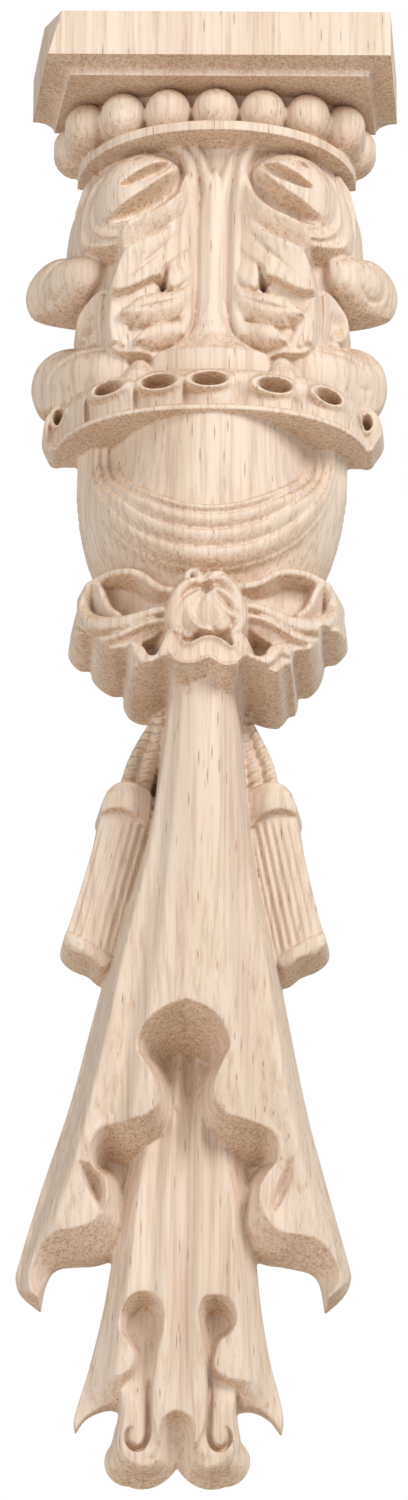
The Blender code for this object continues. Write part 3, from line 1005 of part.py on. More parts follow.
# Mesh of the relief
def relief_mesh(c):
    """The relief as the front of a slab that reaches behind the wall"""
    rows, columns = c.D.shape
    front = np.stack([c.X + LEAN * c.Z, -c.D, c.Z], axis=-1).reshape(-1, 3)
    index = np.arange(rows * columns).reshape(rows, columns)
    rim = np.concatenate([index[0, :-1], index[:-1, -1], index[-1, :0:-1], index[:0:-1, 0]])
    back = front[rim].copy()
    back[:, 1] = SLAB_BACK
    points = np.vstack([front, back]) * MM
    quads = np.stack([index[:-1, :-1], index[:-1, 1:], index[1:, 1:], index[1:, :-1]],
                     axis=-1).reshape(-1, 4)
    behind = np.arange(len(rim)) + len(front)
    walls = np.stack([rim, behind, np.roll(behind, -1), np.roll(rim, -1)], axis=-1)
    mesh = bpy.data.meshes.new("relief")
    faces = quads.tolist() + walls.tolist() + [behind[::-1].tolist()]
    mesh.from_pydata(points.tolist(), [], faces)
    mesh.update()
    return mesh


def helper(name, mesh):
    item = bpy.data.objects.new(name, mesh)
    bpy.context.scene.collection.objects.link(item)
    item.hide_render = True
    item.display_type = "WIRE"
    return item


def result(item):
    """The mesh of an object with its modifiers applied"""
    bpy.context.view_layer.update()
    graph = bpy.context.evaluated_depsgraph_get()
    return bpy.data.meshes.new_from_object(item.evaluated_get(graph), depsgraph=graph)


def boolean(item, operation, other):
    step = item.modifiers.new(operation.lower(), "BOOLEAN")
    step.operation = operation
    step.solver = "EXACT"
    step.object = other


def one_body(mesh):
    """Drops the loose crumbs that lie beside the carving"""
    build = bmesh.new()
    build.from_mesh(mesh)
    build.verts.ensure_lookup_table()
    seen = set()
    groups = []
    for start in build.verts:
        if start.index in seen:
            continue
        seen.add(start.index)
        group = [start]
        for vert in group:
            for edge in vert.link_edges:
                near = edge.other_vert(vert)
                if near.index not in seen:
                    seen.add(near.index)
                    group.append(near)
        groups.append(group)
    groups.sort(key=len)
    for group in groups[:-1]:
        bmesh.ops.delete(build, geom=group, context="VERTS")
    bmesh.ops.triangulate(build, faces=build.faces[:])
    build.to_mesh(mesh)
    build.free()


def carved():
    """The relief, closed, thinned to the triangles a solid may have and joined with its block"""
    body = helper("relief", relief_mesh(carve()))
    remesh = body.modifiers.new("even", "REMESH")
    remesh.mode = "VOXEL"
    remesh.voxel_size = VOXEL * MM
    even = result(body)
    thin = helper("thin", even)
    soften = thin.modifiers.new("soften", "SMOOTH")
    soften.factor = 0.5
    soften.iterations = 2
    decimate = thin.modifiers.new("thin", "DECIMATE")
    decimate.ratio = TRIANGLES / (2 * len(even.polygons))
    decimate.use_collapse_triangulate = True
    thinned = helper("thinned", result(thin))
    behind = helper("behind",
                    loft([[(x, y, z) for x,
                           y in ((-90, 0), (90, 0), (90, 40), (-90, 40))] for z in (-230, 230)]))
    boolean(thinned, "UNION", helper("block", block()))
    boolean(thinned, "DIFFERENCE", behind)
    mesh = result(thinned)
    one_body(mesh)
    return mesh


# Wood
def wood():
    material = bpy.data.materials.new("wood")
    material.use_nodes = True
    shader = material.node_tree.nodes["Principled BSDF"]
    shader.inputs["Base Color"].default_value = (0.80, 0.63, 0.47, 1.0)
    shader.inputs["Roughness"].default_value = 0.72
    return material


shape = carved()
shape.name = "moulding"
shape.materials.clear()
shape.materials.append(wood())
moulding = bpy.data.objects.new("moulding", shape)
bpy.context.scene.collection.objects.link(moulding)
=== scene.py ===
"""The carved wooden moulding, dressed: its relief cut finely, in bare pale wood"""

import bmesh
import bpy
import numpy as np
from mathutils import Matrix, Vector


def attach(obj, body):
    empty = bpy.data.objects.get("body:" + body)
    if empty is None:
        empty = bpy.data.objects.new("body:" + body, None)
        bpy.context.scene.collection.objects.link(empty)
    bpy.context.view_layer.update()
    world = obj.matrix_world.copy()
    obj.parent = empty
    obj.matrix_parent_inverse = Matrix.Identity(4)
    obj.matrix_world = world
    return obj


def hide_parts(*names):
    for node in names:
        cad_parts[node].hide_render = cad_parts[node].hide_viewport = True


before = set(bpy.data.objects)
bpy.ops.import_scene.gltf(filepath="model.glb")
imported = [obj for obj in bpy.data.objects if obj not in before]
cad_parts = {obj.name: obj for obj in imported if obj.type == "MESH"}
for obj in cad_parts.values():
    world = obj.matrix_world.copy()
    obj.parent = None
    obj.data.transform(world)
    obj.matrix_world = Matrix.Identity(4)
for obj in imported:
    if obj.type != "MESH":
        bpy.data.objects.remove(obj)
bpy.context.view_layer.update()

# Sizes are in mm: x across, z up, and depth out from the wall
CELL = 0.3
# Depth where there is no wood
GROUND = -4.0
TOP = 200.3
# The carving leans this far to the right for each mm of height
LEAN = 0.0218
# The relief's grid reaches this far to the sides and up and down
HALF_SPAN, LOWEST, HIGHEST = 56, -203, 204
# How far the slab and the block run behind the wall before they are cut off
SLAB_BACK = 8.0
OVERRUN = 3.0
VOXEL = 0.36
TRIANGLES = 185000
MM = 0.001
FASCIA_FOOT = 187.2
SOFFIT = 183.8
DISC_TOP, DISC_FOOT = 169.3, 166.6
BELL_FOOT = 97.0
RING_TOP, LIP_FOOT = 96.6, 82.8


def curve(points, count=80, closed=False):
    """A smooth line through points, given as count of them"""
    p = np.array(points, float)
    if closed:
        p = np.vstack([p[-1], p, p[:2]])
    else:
        p = np.vstack([2 * p[0] - p[1], p, 2 * p[-1] - p[-2]])
    spans = len(p) - 3
    t = np.linspace(0, spans, count, endpoint=not closed)
    i = np.minimum(t.astype(int), spans - 1)
    f = (t - i)[:, None]
    a, b, c, d = p[i], p[i + 1], p[i + 2], p[i + 3]
    bend = 2 * a - 5 * b + 4 * c - d
    turn = 3 * b - a - 3 * c + d
    return 0.5 * (2 * b + (c - a) * f + bend * f ** 2 + turn * f ** 3)


def sided(points, side):
    """Points of the right-hand side, mirrored for the left when side is -1"""
    return [(p[0] * side,) + tuple(p[1:]) for p in points]


def ease(value, low, high):
    """0 below low, 1 above high, smooth between"""
    t = np.clip((value - low) / (high - low), 0, 1)
    return t * t * (3 - 2 * t)


def plan(x, half_width, depth, power=2.2):
    """Depth of a half-turned body in front of the wall, and the ground beyond its sides"""
    u = 1 - np.abs(x / half_width) ** power
    return np.where(u > 0, depth * np.maximum(u, 0) ** (1 / power), GROUND)


def read(path, place, column):
    """A value of a path's points at a place along it; a half-width, in column 2, stays above zero"""
    value = np.interp(place, np.arange(len(path)), path[:, column])
    return np.maximum(value, 0.05) if column == 2 else value


class Carving:
    """The relief: D holds the depth at each place X across and Z up"""
    def __init__(self):
        self.x = np.arange(-HALF_SPAN, HALF_SPAN + CELL / 2, CELL)
        self.z = np.arange(LOWEST, HIGHEST, CELL)
        self.X, self.Z = np.meshgrid(self.x, self.z)
        self.D = np.full(self.X.shape, GROUND)

    def window(self, x0, x1, z0, z1):
        """The part of the grid between these places"""
        i = slice(*np.searchsorted(self.z, (z0, z1)))
        j = slice(*np.searchsorted(self.x, (x0, x1)))
        return i, j

    def around(self, path, margin):
        """The part of the grid round a path"""
        low, high = path[:, :2].min(0) - margin, path[:, :2].max(0) + margin
        return self.window(low[0], high[0], low[1], high[1])

    def body(self, z0, z1, depth):
        """Raises the ground to depth(x, z) between two heights"""
        w = self.window(-HALF_SPAN, HALF_SPAN, z0, z1)
        self.D[w] = np.maximum(self.D[w], depth(self.X[w], self.Z[w]))

    def nearest(self, path, w):
        """Distance to a path, how many of its points along that is, and on which side of it"""
        X, Z = self.X[w], self.Z[w]
        best = np.full(X.shape, 1e9)
        place = np.zeros(X.shape)
        side = np.ones(X.shape)
        for k, ((ax, az), (bx, bz)) in enumerate(zip(path[:-1, :2], path[1:, :2])):
            ex, ez = bx - ax, bz - az
            t = np.clip(((X - ax) * ex + (Z - az) * ez) / max(ex * ex + ez * ez, 1e-9), 0, 1)
            dx, dz = X - ax - t * ex, Z - az - t * ez
            d = dx * dx + dz * dz
            closer = d < best
            best = np.where(closer, d, best)
            place = np.where(closer, k + t, place)
            side = np.where(closer, ex * dz - ez * dx, side)
        return np.sqrt(best), place, side

    def blade(self, points, section=None, base=None, steep=4, count=70):
        """A raised band: points hold x, z, half-width and lift. section(s) adds to the lift, s being -1 on
        the right of the path as it runs and 1 on its left. base(x, z) is what the lift stands on"""
        path = curve(points, count)
        w = self.around(path, path[:, 2].max() + 5)
        d, place, side = self.nearest(path, w)
        half, lift = read(path, place, 2), read(path, place, 3)
        s = np.clip(np.sign(side) * d / half, -1, 1)
        height = lift + (section(s) if section else 0)
        if base:
            height = height + base(self.X[w], self.Z[w])
        height = height - steep * np.maximum(0, d - half)
        self.D[w] = np.maximum(self.D[w], height)

    def groove(self, points, count=50):
        """A cut: points hold x, z, half-width and how deep"""
        path = curve(points, count)
        w = self.around(path, path[:, 2].max() + 1)
        d, place, _ = self.nearest(path, w)
        half, deep = read(path, place, 2), read(path, place, 3)
        cut = deep * np.clip(1 - (d / half) ** 2, 0, 1)
        self.D[w] -= cut

    def outside(self, outline, w, squash=1):
        """Distance outside a closed outline, below 0 inside it. squash scales what is measured along z"""
        X, Z = self.X[w], self.Z[w] * squash
        p = np.array(outline, float) * (1, squash)
        best = np.full(X.shape, 1e9)
        inside = np.zeros(X.shape, bool)
        for (ax, az), (bx, bz) in zip(p, np.roll(p, -1, axis=0)):
            ex, ez = bx - ax, bz - az
            t = np.clip(((X - ax) * ex + (Z - az) * ez) / max(ex * ex + ez * ez, 1e-9), 0, 1)
            best = np.minimum(best, (X - ax - t * ex) ** 2 + (Z - az - t * ez) ** 2)
            if az != bz:
                cross = (Z >= min(az, bz)) & (Z < max(az, bz))
                inside ^= cross & (X < ax + (Z - az) * ex / ez)
        return np.where(inside, -1, 1) * np.sqrt(best)

    def plateau(self, outline, depth, steep=4, squash=1, foot=None):
        """A layer of the given depth(x, z) inside an outline, with walls that fall away outside it. foot is
        the outline at the wall that the layer never passes"""
        p = np.array(outline, float)
        w = self.window(p[:, 0].min() - 9, p[:, 0].max() + 9, p[:, 1].min() - 18, p[:, 1].max() + 9)
        out = self.outside(outline, w, squash)
        fall = steep(self.X[w], self.Z[w]) if callable(steep) else steep
        height = depth(self.X[w], self.Z[w]) - fall * np.maximum(0, out)
        if foot is not None:
            height = np.minimum(height, -12 * self.outside(foot, w))
        self.D[w] = np.maximum(self.D[w], height)


def surface(controls, x, z):
    """A smooth surface through control points (x, z, depth)"""
    p = np.array(controls, float)
    reach = np.hypot(p[:, None, 0] - p[None, :, 0], p[:, None, 1] - p[None, :, 1])
    weights = np.linalg.solve(reach + 0.02 * np.eye(len(p)), p[:, 2] - p[:, 2].mean())
    height = np.full(x.shape, p[:, 2].mean())
    for (px, pz, _), weight in zip(p, weights):
        height = height + weight * np.sqrt((x - px) ** 2 + (z - pz) ** 2 + 0.8)
    return height


def patch(c, side, outline, controls, steep=5, soft=0):
    """One leaf or fold: a smooth surface through its control points, inside a smooth closed outline"""
    outline = [tuple(p) for p in curve(sided(outline, side), 5 * len(outline), closed=True)]
    controls = sided(controls, side)
    p = np.array(outline)
    w = c.window(p[:, 0].min() - 6, p[:, 0].max() + 6, p[:, 1].min() - 8, p[:, 1].max() + 6)
    out = c.outside(outline, w)
    fall = steep * np.maximum(0, out) + soft * np.maximum(0, 1 + np.minimum(out, 0)) ** 2
    c.D[w] = np.maximum(c.D[w], surface(controls, c.X[w], c.Z[w]) - fall)


def hollow(c, outline, controls, steep=5):
    """The opposite of a patch: cuts down to a smooth surface inside an outline"""
    outline = [tuple(p) for p in curve(outline, 5 * len(outline), closed=True)]
    p = np.array(outline)
    w = c.window(p[:, 0].min() - 1, p[:, 0].max() + 1, p[:, 1].min() - 1, p[:, 1].max() + 1)
    out = c.outside(outline, w)
    floor = surface(controls, c.X[w], c.Z[w]) + steep * np.maximum(0, 0.6 + out)
    c.D[w] = np.where(out < 0, np.minimum(c.D[w], floor), c.D[w])


def trim(c, outline, z0, z1, steep=14):
    """Between two heights, takes away what lies outside an outline at the wall"""
    w = c.window(-HALF_SPAN, HALF_SPAN, z0, z1)
    c.D[w] = np.minimum(c.D[w], np.maximum(-steep * c.outside(outline, w), GROUND))


def eased_slopes(slopes_before, slopes_after):
    """The slope of a smooth line at a point that has these straight slopes on its two sides"""
    product = slopes_before * slopes_after
    total = slopes_before + slopes_after
    return np.where(product > 0, 2 * product / np.where(product > 0, total, 1), 0)


def hermite(t, low, high, rise_low, rise_high):
    """A smooth line between two values that starts and ends with the given rises"""
    bend = 3 * (high - low) - 2 * rise_low - rise_high
    turn = 2 * (low - high) + rise_low + rise_high
    return low + t * (rise_low + t * (bend + t * turn))


def knots(z, table):
    """Reads a value off a smooth line through a short table of (z, value), level beyond its ends"""
    t = np.array(sorted(table), float)
    if len(t) == 2:
        return np.interp(z, t[:, 0], t[:, 1])
    slopes = np.diff(t[:, 1]) / np.diff(t[:, 0])
    tangents = np.concatenate([slopes[:1], eased_slopes(slopes[:-1], slopes[1:]), slopes[-1:]])
    z = np.clip(z, t[0, 0], t[-1, 0])
    k = np.clip(np.searchsorted(t[:, 0], z, side="right") - 1, 0, len(t) - 2)
    span = t[k + 1, 0] - t[k, 0]
    return hermite((z - t[k, 0]) / span, t[k, 1], t[k + 1, 1], tangents[k] * span, tangents[k + 1] * span)


def folds(lines, half, x, z):
    """A pleated surface that runs smoothly from line to line across the piece. Each line holds its height,
    its place across as a share of the half width, and its depth"""
    places = [knots(z, [(h, share) for h, share, _ in line]) * half for line in lines]
    depths = [knots(z, [(h, d) for h, _, d in line]) for line in lines]
    slopes = [(d1 - d0) / (p1 - p0) for p0, p1, d0, d1 in zip(places, places[1:], depths, depths[1:])]
    tangents = [0 * slopes[0]] + [eased_slopes(a, b) for a, b in zip(slopes, slopes[1:])] + [slopes[-1]]
    end_grain_and_shade = np.clip(np.abs(x), 0, places[-1])
    height = depths[-1] + 0 * end_grain_and_shade
    for k in range(len(lines) - 1):
        span = places[k + 1] - places[k]
        t = (end_grain_and_shade - places[k]) / span
        part = hermite(np.clip(t, 0, 1), depths[k], depths[k + 1], tangents[k] * span,
            tangents[k + 1] * span)
        height = np.where((t >= 0) & (t <= 1), part, height)
    return height


def smooth(points, closed=False):
    """A smooth outline through points, six times finer"""
    return [tuple(p) for p in curve(points, 6 * len(points), closed)]


def dome(height):
    """The section of a rounded band, for blade"""
    return lambda s: height * (1 - s * s)


# Top block, beads and disc
CAVETTO = 6.0
BLOCK_DEPTH = 42.0
BLOCK_LEFT, BLOCK_RIGHT = -47.8, 53.9
BLOCK_FRONT_LEFT, BLOCK_FRONT_RIGHT = -42.7, 50.8
BEAD_RADIUS = 6.25
# Place across and depth of each bead, from the middle out
BEADS = [(0, 27), (13, 26.3), (25.3, 23.5), (35.3, 16.5), (38.7, 3)]
# The row of beads sits a little to the left of the middle
BEAD_SHIFT = -0.8
DISC_CROWN = 171.5


def beads(c):
    c.body(DISC_TOP, SOFFIT + 6, lambda x, z: plan(x, 37.5, 24, 3))
    middle = 0.5 * (SOFFIT + DISC_CROWN - 0.2)
    for x0, d0 in BEADS:
        for x1 in (x0 + BEAD_SHIFT, -x0 + BEAD_SHIFT):
            w = c.window(x1 - 7, x1 + 7, middle - 8, middle + 7)
            # its lower half is drawn out down to the disc
            above = c.Z[w] - middle
            rho = BEAD_RADIUS ** 2 - (c.X[w] - x1) ** 2 - np.where(above > 0, above, 0.8 * above) ** 2
            c.D[w] = np.maximum(c.D[w], np.where(rho > 0, d0 + np.sqrt(np.maximum(rho, 0)), GROUND))


def disc(c):
    def depth(x, z):
        drawn_in = ease(z, DISC_TOP, DISC_CROWN)
        return plan(x, 38.7 - 5 * drawn_in, 38 - 9 * drawn_in, 2.1)
    c.body(DISC_FOOT, DISC_CROWN, depth)


# Capital
BELL_WIDTH = [(97, 33), (108, 34), (114, 35), (118, 36.5), (125, 37.2), (140, 38.2), (155, 38.2), (162, 36),
    (167, 34)]
BELL_DEPTH = [(97, 14), (106, 16), (112, 20), (120, 22), (135, 22), (150, 24), (167, 26)]


def bell_depth(x, z):
    return plan(x, knots(z, BELL_WIDTH), knots(z, BELL_DEPTH), 2.4)


def capital(c):
    """The bell of the capital, and what grows on it"""
    c.body(BELL_FOOT - 2, DISC_FOOT + 1, bell_depth)
    for side in (1, -1):
        side_leaves(c, side)
        volute(c, side)
        lower_leaves(c, side)
        main_leaf(c, side)
        curls(c, side)
    stem(c)


def leaf(c, side, points, section, steep=5):
    """A blade whose section is mirrored with its side"""
    turned = section if side > 0 else (lambda s: section(-s))
    c.blade(sided(points, side), turned, steep=steep)


# Where the volute's ball sits, and its half-sizes across and up
BALL = (20.2, 151.8, 13.2, 14.2)


def volute(c, side):
    # the plain flank, the curled shelf round the ball, then the ball
    c.plateau(sided([(30, 165), (34, 165.5), (36.8, 161), (38.6, 154), (38.8, 146), (38.4, 138), (34, 137),
        (30, 150)], side), lambda x, z: 12 + 0 * x, steep=14)
    patch(c, side,
        [(27, 163), (32, 160.5), (35.4, 155), (36.6, 148), (36.2, 141.5), (32, 138.6), (25, 138.2),
         (24, 146), (26, 156)],
        [(30, 160, 20), (34.5, 154, 18), (36, 147, 17.5), (35.6, 141, 19), (31.5, 139, 23), (25, 139, 27),
         (28, 148, 22), (26, 158, 22)], steep=4)
    patch(c, side,
        [(24, 162), (30.5, 158.5), (33.8, 153), (34.2, 146.5), (31.6, 141.5), (27, 139.6), (22, 142),
         (20, 152)],
        [(28, 160, 22), (33.5, 153, 20.5), (33.8, 146.5, 21), (31, 142, 24), (26.5, 140, 27.5),
         (24, 150, 24)], steep=4)
    x0, z0, rx, rz = BALL[0] * side, BALL[1], BALL[2], BALL[3]
    w = c.window(x0 - rx - 5, x0 + rx + 5, z0 - rz - 4, z0 + rz + 3)
    rho = np.hypot((c.X[w] - x0) / rx, (c.Z[w] - z0) / rz)
    swell = 10.5 * np.clip(1 - rho ** 2.6, 0, 1) ** 0.5 - 40 * np.maximum(0, rho - 1)
    c.D[w] = np.maximum(c.D[w], 21.5 + swell - 0.22 * side * (c.X[w] - x0))
    c.groove(sided([(26.2, 153.4, 0.5, 0.8), (24.4, 154, 1.2, 2.8), (21, 155.5, 1.9, 4.2),
        (16.8, 157.6, 2.2, 4.4), (14, 159.3, 1.5, 3), (12.6, 160.6, 0.6, 0.8)], side))
    c.groove(sided([(28.5, 144.6, 1.2, 0.8), (25.5, 145.2, 2.2, 3.6), (21.5, 146.6, 3.1, 6.2),
        (15.8, 149.8, 3.4, 6.8), (11.6, 153.8, 3, 6), (9.3, 158, 2, 4), (9, 162.4, 1.2, 2)], side))
    # a small drilled hole near the top of the ball: its place across, height and slope
    hole = (-21.8, 162.4, 0.5) if side < 0 else (23.4, 160.8, -0.6)
    run = 1.1
    c.groove([(hole[0] - run, hole[1] - run * hole[2], 0.7, 1.6), (hole[0], hole[1], 0.9, 2.2),
        (hole[0] + run, hole[1] + run * hole[2], 0.7, 1.6)])


def main_leaf(c, side):
    """The long leaf that falls from beside the stem: an upper lobe tucked behind a lower one"""
    patch(c, side,
        [(11, 166), (8, 160.5), (8.9, 156.4), (10.4, 151.6), (14.3, 147), (19.3, 144.2), (24.3, 141.4),
         (25, 136.6), (20, 131), (8, 136), (5.6, 143), (5.9, 152), (6.6, 158), (8.6, 164)],
        [(10, 165, 25), (7.4, 157, 27.5), (10, 151.3, 30.2), (14.2, 146.6, 31.6), (19.3, 143.8, 31.8),
         (24, 141, 31), (24.6, 137, 28.5), (18, 138.6, 28.2), (12, 143.2, 27.8), (7.6, 150.5, 27.4),
         (6, 142, 25)], steep=4)
    patch(c, side,
        [(6.2, 150), (9.4, 145.6), (12.6, 141.5), (15, 139.1), (19.6, 136.8), (23.9, 134.4), (26.2, 129),
         (27.3, 122.6), (23.6, 122.4), (20.3, 123.8), (17, 126), (13.8, 127.4), (12.9, 130.2), (8.6, 134.6),
         (6, 139.2), (5.6, 145)],
        [(6.4, 149, 25.6), (9.6, 145, 28.6), (14.8, 139, 31.2), (19.5, 136.5, 31.8), (23.7, 134, 31.2),
         (26, 129, 30.2), (26.8, 123, 30.8), (20.8, 124.4, 31.6), (14.6, 127.6, 30.6), (18.6, 131, 30),
         (13, 134.6, 29.2), (8.4, 137.4, 27), (5.8, 142, 24.6)], steep=6, soft=0.35)
    # the fold's faint middle line
    c.groove(sided([(9.4, 141, 0.6, 0.3), (13.5, 135.6, 0.8, 0.7), (18, 131, 0.8, 0.7),
        (22.6, 126.6, 0.5, 0.4)], side))
    # the hooked leaflet under it
    patch(c, side,
        [(5.4, 138), (8.4, 135.6), (11.6, 132.2), (12.4, 129.4), (12.6, 126), (11.4, 123.6), (9.2, 124.4),
         (6.6, 127.4), (5.4, 131)],
        [(5.8, 137, 24.4), (8.6, 134, 27), (11.4, 130.6, 28.2), (12.2, 126.4, 28.8), (10.8, 124.4, 29),
         (8.2, 128.4, 28.2), (5.8, 131.6, 25.2)], steep=6, soft=0.8)
    c.groove(sided([(12.6, 130.6, 0.5, 0.6), (13.2, 128.2, 0.9, 2.6), (13.4, 125.4, 1.1, 3.6),
        (14.6, 123.2, 0.9, 1.6)], side))


def lower_leaves(c, side):
    # the fan under the leaf tips, with its rays
    patch(c, side,
        [(27.5, 123), (27, 115.8), (26.4, 106.4), (18.4, 104.6), (12, 104), (8, 112), (10, 122), (20, 126)],
        [(27, 121, 27), (26.4, 113, 26), (26, 106.6, 26.4), (19.5, 105.6, 28.5), (13, 105, 26),
         (18, 113, 26.8), (20, 121, 28), (9, 115, 25.5)], steep=5)
    for x1, z1 in ((26.4, 108.6), (23.8, 107.4), (21.2, 106.6)):
        leaf(c, side,
            [(27.2, 120.6, 0.7, 26.6), (0.5 * (27.0 + x1) + 0.5, 114.6, 1, 26.8), (x1, z1, 0.9, 27.4)],
            dome(0.9))
    # the two plump leaflets beside the stem
    leaf(c, side,
        [(5.2, 119.6, 0.8, 24.6), (6.6, 114.2, 1.9, 26.8), (9.2, 111.2, 2.8, 28.6), (13, 109.6, 3, 30),
         (16.2, 108.4, 3, 30.4), (18.2, 107.6, 2.2, 30.2)],
        lambda s: -2.6 * (1 - s) ** 2 / 4 + 0.9 * (1 - s * s), steep=7)
    leaf(c, side,
        [(5.6, 127.4, 0.8, 24.8), (7.2, 122.4, 2.4, 27.6), (10.8, 119, 3.6, 29.2), (15.4, 117.2, 4.3, 30.2),
         (19.6, 116, 3.8, 30.4), (22.6, 115.4, 2.2, 29.8)],
        lambda s: -1.8 * (1 - s) ** 2 / 4 + 1.5 * (1 - s * s), steep=7)
    c.groove(sided([(8.4, 120.4, 0.5, 0.4), (12.6, 118.4, 0.7, 0.9), (17, 117, 0.7, 0.9),
        (20.6, 116.2, 0.5, 0.4)], side))
    for x0, z0 in ((20.4, 113.6), (21.8, 112.6)):
        c.groove(sided([(x0 - 0.6, z0 + 1.4, 0.4, 0.4), (x0, z0, 0.6, 0.8), (x0 + 1.2, z0 - 1.4, 0.4, 0.4)],
            side))


def side_leaves(c, side):
    """Leaflets between the bell and the curls at its side"""
    patch(c, side,
        [(29, 127.4), (33.6, 126), (37, 121.4), (36.6, 116.2), (34.6, 113.4), (32, 117), (30.2, 123)],
        [(30, 126, 20), (34, 125, 15), (36.6, 121, 13), (36.2, 116.6, 14), (34.6, 114.2, 16),
         (33.4, 119.6, 12.4), (31.4, 122, 18)], steep=14, soft=0.5)
    patch(c, side, [(29.6, 119.6), (32.4, 116), (34.6, 112.6), (34, 110), (31.4, 109.6), (29.6, 113)],
        [(30, 118, 20), (33, 114.6, 16), (34.2, 112, 15.4), (33.6, 110.4, 16.4), (31, 110.6, 18.6),
         (31.8, 113.4, 15)], steep=7, soft=0.5)
    for x0, x1 in ((28.6, 27.4), (30.2, 29.4)):
        leaf(c, side, [(x0, 124.6, 0.7, 20.5), (x0 + 0.3, 118, 0.8, 20), (x1, 108, 0.8, 20)], dome(0.9))


def curls(c, side):
    """The leaf tips that roll outward at the side, cut across so that they end in a flat scroll"""
    # they reach further out on the left, and the lower one stands higher on the right
    out = 0.7 if side < 0 else -0.3
    up = 1.6 if side > 0 else 0.4
    patch(c, side,
        [(30.8, 137), (32.4, 140.6), (36.5, 141.8), (41.5 + out, 142.2), (46.5 + out, 140.8),
         (50.2 + out, 137), (51.0 + out, 132), (49.2 + out, 127.4), (45.6 + out, 125.8), (41, 125),
         (37.2, 124.6), (34.2, 127), (31.6, 130.8)],
        [(31.4, 136, 18.5), (33.5, 139.2, 17), (38, 139.8, 14.5), (38, 142, 6), (43, 139.8, 10.5),
         (48.6 + out, 138, 4), (50.8 + out, 132, 1.5), (48.4 + out, 128.2, 3), (43, 127, 9.5),
         (37.8, 126.2, 14.5), (37.4, 124.8, 7), (34.6, 128.2, 17.6), (32, 131.6, 18.6), (39.5, 132.5, 16.8),
         (45, 132.5, 11.5)], steep=9, soft=0.8)
    c.groove(sided([(33.2, 139, 0.5, 0.3), (38.5, 139.4, 0.7, 0.9), (43.6, 138.6, 0.8, 1.1),
        (46.8, 134.8, 0.8, 1.1), (46.2, 130.2, 0.8, 1.1), (42.8, 128.2, 0.7, 0.9), (40.4, 130.4, 0.5, 0.5)],
        side))
    patch(c, side,
        [(22.4, 106.6), (26.6, 112.4), (31.5, 114.8), (37 + out, 116.4 + 0.7 * up), (43.0 + out, 114.9 + up),
         (47.4 + out, 110.6 + up), (48.5 + out, 105), (46.6 + out, 99.4), (43.5 + out, 96.6), (36, 95.5),
         (24, 95.5)],
        [(24, 107, 24), (28.5, 110, 22), (36.5, 110.8, 15.5), (36.5, 116.4, 4), (42.4 + out, 110, 9),
         (46.9 + out, 107.6, 3.5), (47.9 + out, 103, 2), (45.6 + out, 98.6, 5), (38, 97, 16), (28, 98, 25),
         (35, 104.4, 20.5), (41.5, 104.4, 14)], steep=9, soft=0.8)
    c.groove(sided([(28.4, 107.6, 0.5, 0.3), (34.4, 108.8, 0.8, 0.9), (40.2, 108.4, 0.9, 1.2),
        (43.6, 105.6, 0.9, 1.2), (43.4, 102.2, 0.8, 1), (40.6, 100.8, 0.6, 0.6)], side))


def stem(c):
    """The middle stem: a rounded rib between two channels that spread out at the top, on a trumpet foot"""
    def base(x, z):
        return knots(z, [(97, 27), (112, 25.5), (125, 25), (150, 25.5), (167, 28)]) + 0 * x

    def trumpet(x, z):
        fluted = 0.5 * np.cos(2 * np.pi * x / 9.5) * ease(z, 103, 108)
        flare = np.clip((118 - z) / 14.5, 0, 1)
        return 26.5 - 0.016 * x * x + 7.5 * flare ** 1.7 + fluted

    c.blade([(0, 168, 6.4, -1.2), (0, 160, 5.6, -1.2), (0, 125, 5.6, -1.2), (0, 108, 6, -1)], None, base)
    # rib, wider at the top where it splits to a Y
    c.blade([(-0.4, 160, 0.6, -0.6), (-0.4, 155, 2, 0.6), (-0.5, 150, 2.9, 1.2), (-0.6, 130, 3.1, 1.3),
        (-0.6, 118, 3.2, 1.5), (-0.4, 110, 4.2, 2.6)], dome(1.3), base, steep=2.5, count=200)
    for side in (1, -1):
        # the two strands beside the rib, which fan out under the disc
        outer = [(13.6, 166.8, 0.9, -1.6), (9.8, 165.4, 1.2, 0.2), (7.4, 161.6, 1.3, 0.9),
            (6.4, 155, 1.2, 0.9), (6.1, 140, 1.1, 0.7), (6, 126, 1.1, 0.8), (6.6, 117, 1.3, 1.4),
            (8.6, 111.2, 1.6, 2.6)]
        c.blade(sided(outer, side), dome(0.8), base, steep=3, count=200)
        inner = [(6.6, 167, 1, 0.2), (4.6, 163.4, 1.1, 0.6), (3, 158.6, 1.1, 0.8), (2, 153.6, 1.2, 0.9),
            (1.4, 148, 1.2, 0.9)]
        c.blade(sided(inner, side), dome(0.9), base, steep=3, count=120)
    foot = [(3.4, 121), (4.2, 115), (5.4, 110.8), (7.6, 107.4), (10.8, 105), (14.6, 103.5), (15.6, 101.6),
        (15.9, 97.2)]
    for side in (1, -1):
        c.plateau(sided([(-0.6, 121)] + foot + [(-0.6, 97.2)], side), trumpet, steep=4)


# Pierced collar
COLLAR_AXIS = 0.6


def ring_plan(x, z):
    width = knots(z,
        [(82.8, 43.4), (84.4, 43.4), (84.9, 42.6), (88, 42.6), (91, 43), (94, 42.2), (96.6, 40.8)])
    depth = knots(z,
        [(82.8, 40.3), (84.4, 40.3), (84.9, 39.2), (88, 39.6), (90, 40), (92, 39.6), (94.5, 38),
         (96.6, 36.4)])
    return plan(x - COLLAR_AXIS, width, depth, 2.25)


# Place across, height and half-width of each eyelet, and places of the edges between the cups under them
EYELETS = [(-41, 92.6, 1.6), (-27.3, 92.7, 3.9), (-13.8, 91.8, 4.5), (-0.2, 92.1, 4.8), (17.4, 91.2, 4.6),
    (31.9, 91.7, 3.5), (42.6, 91.5, 1.5)]
CUP_EDGES = [-46, -33.6, -20.6, -7.4, 6.9, 22, 36.4, 46]
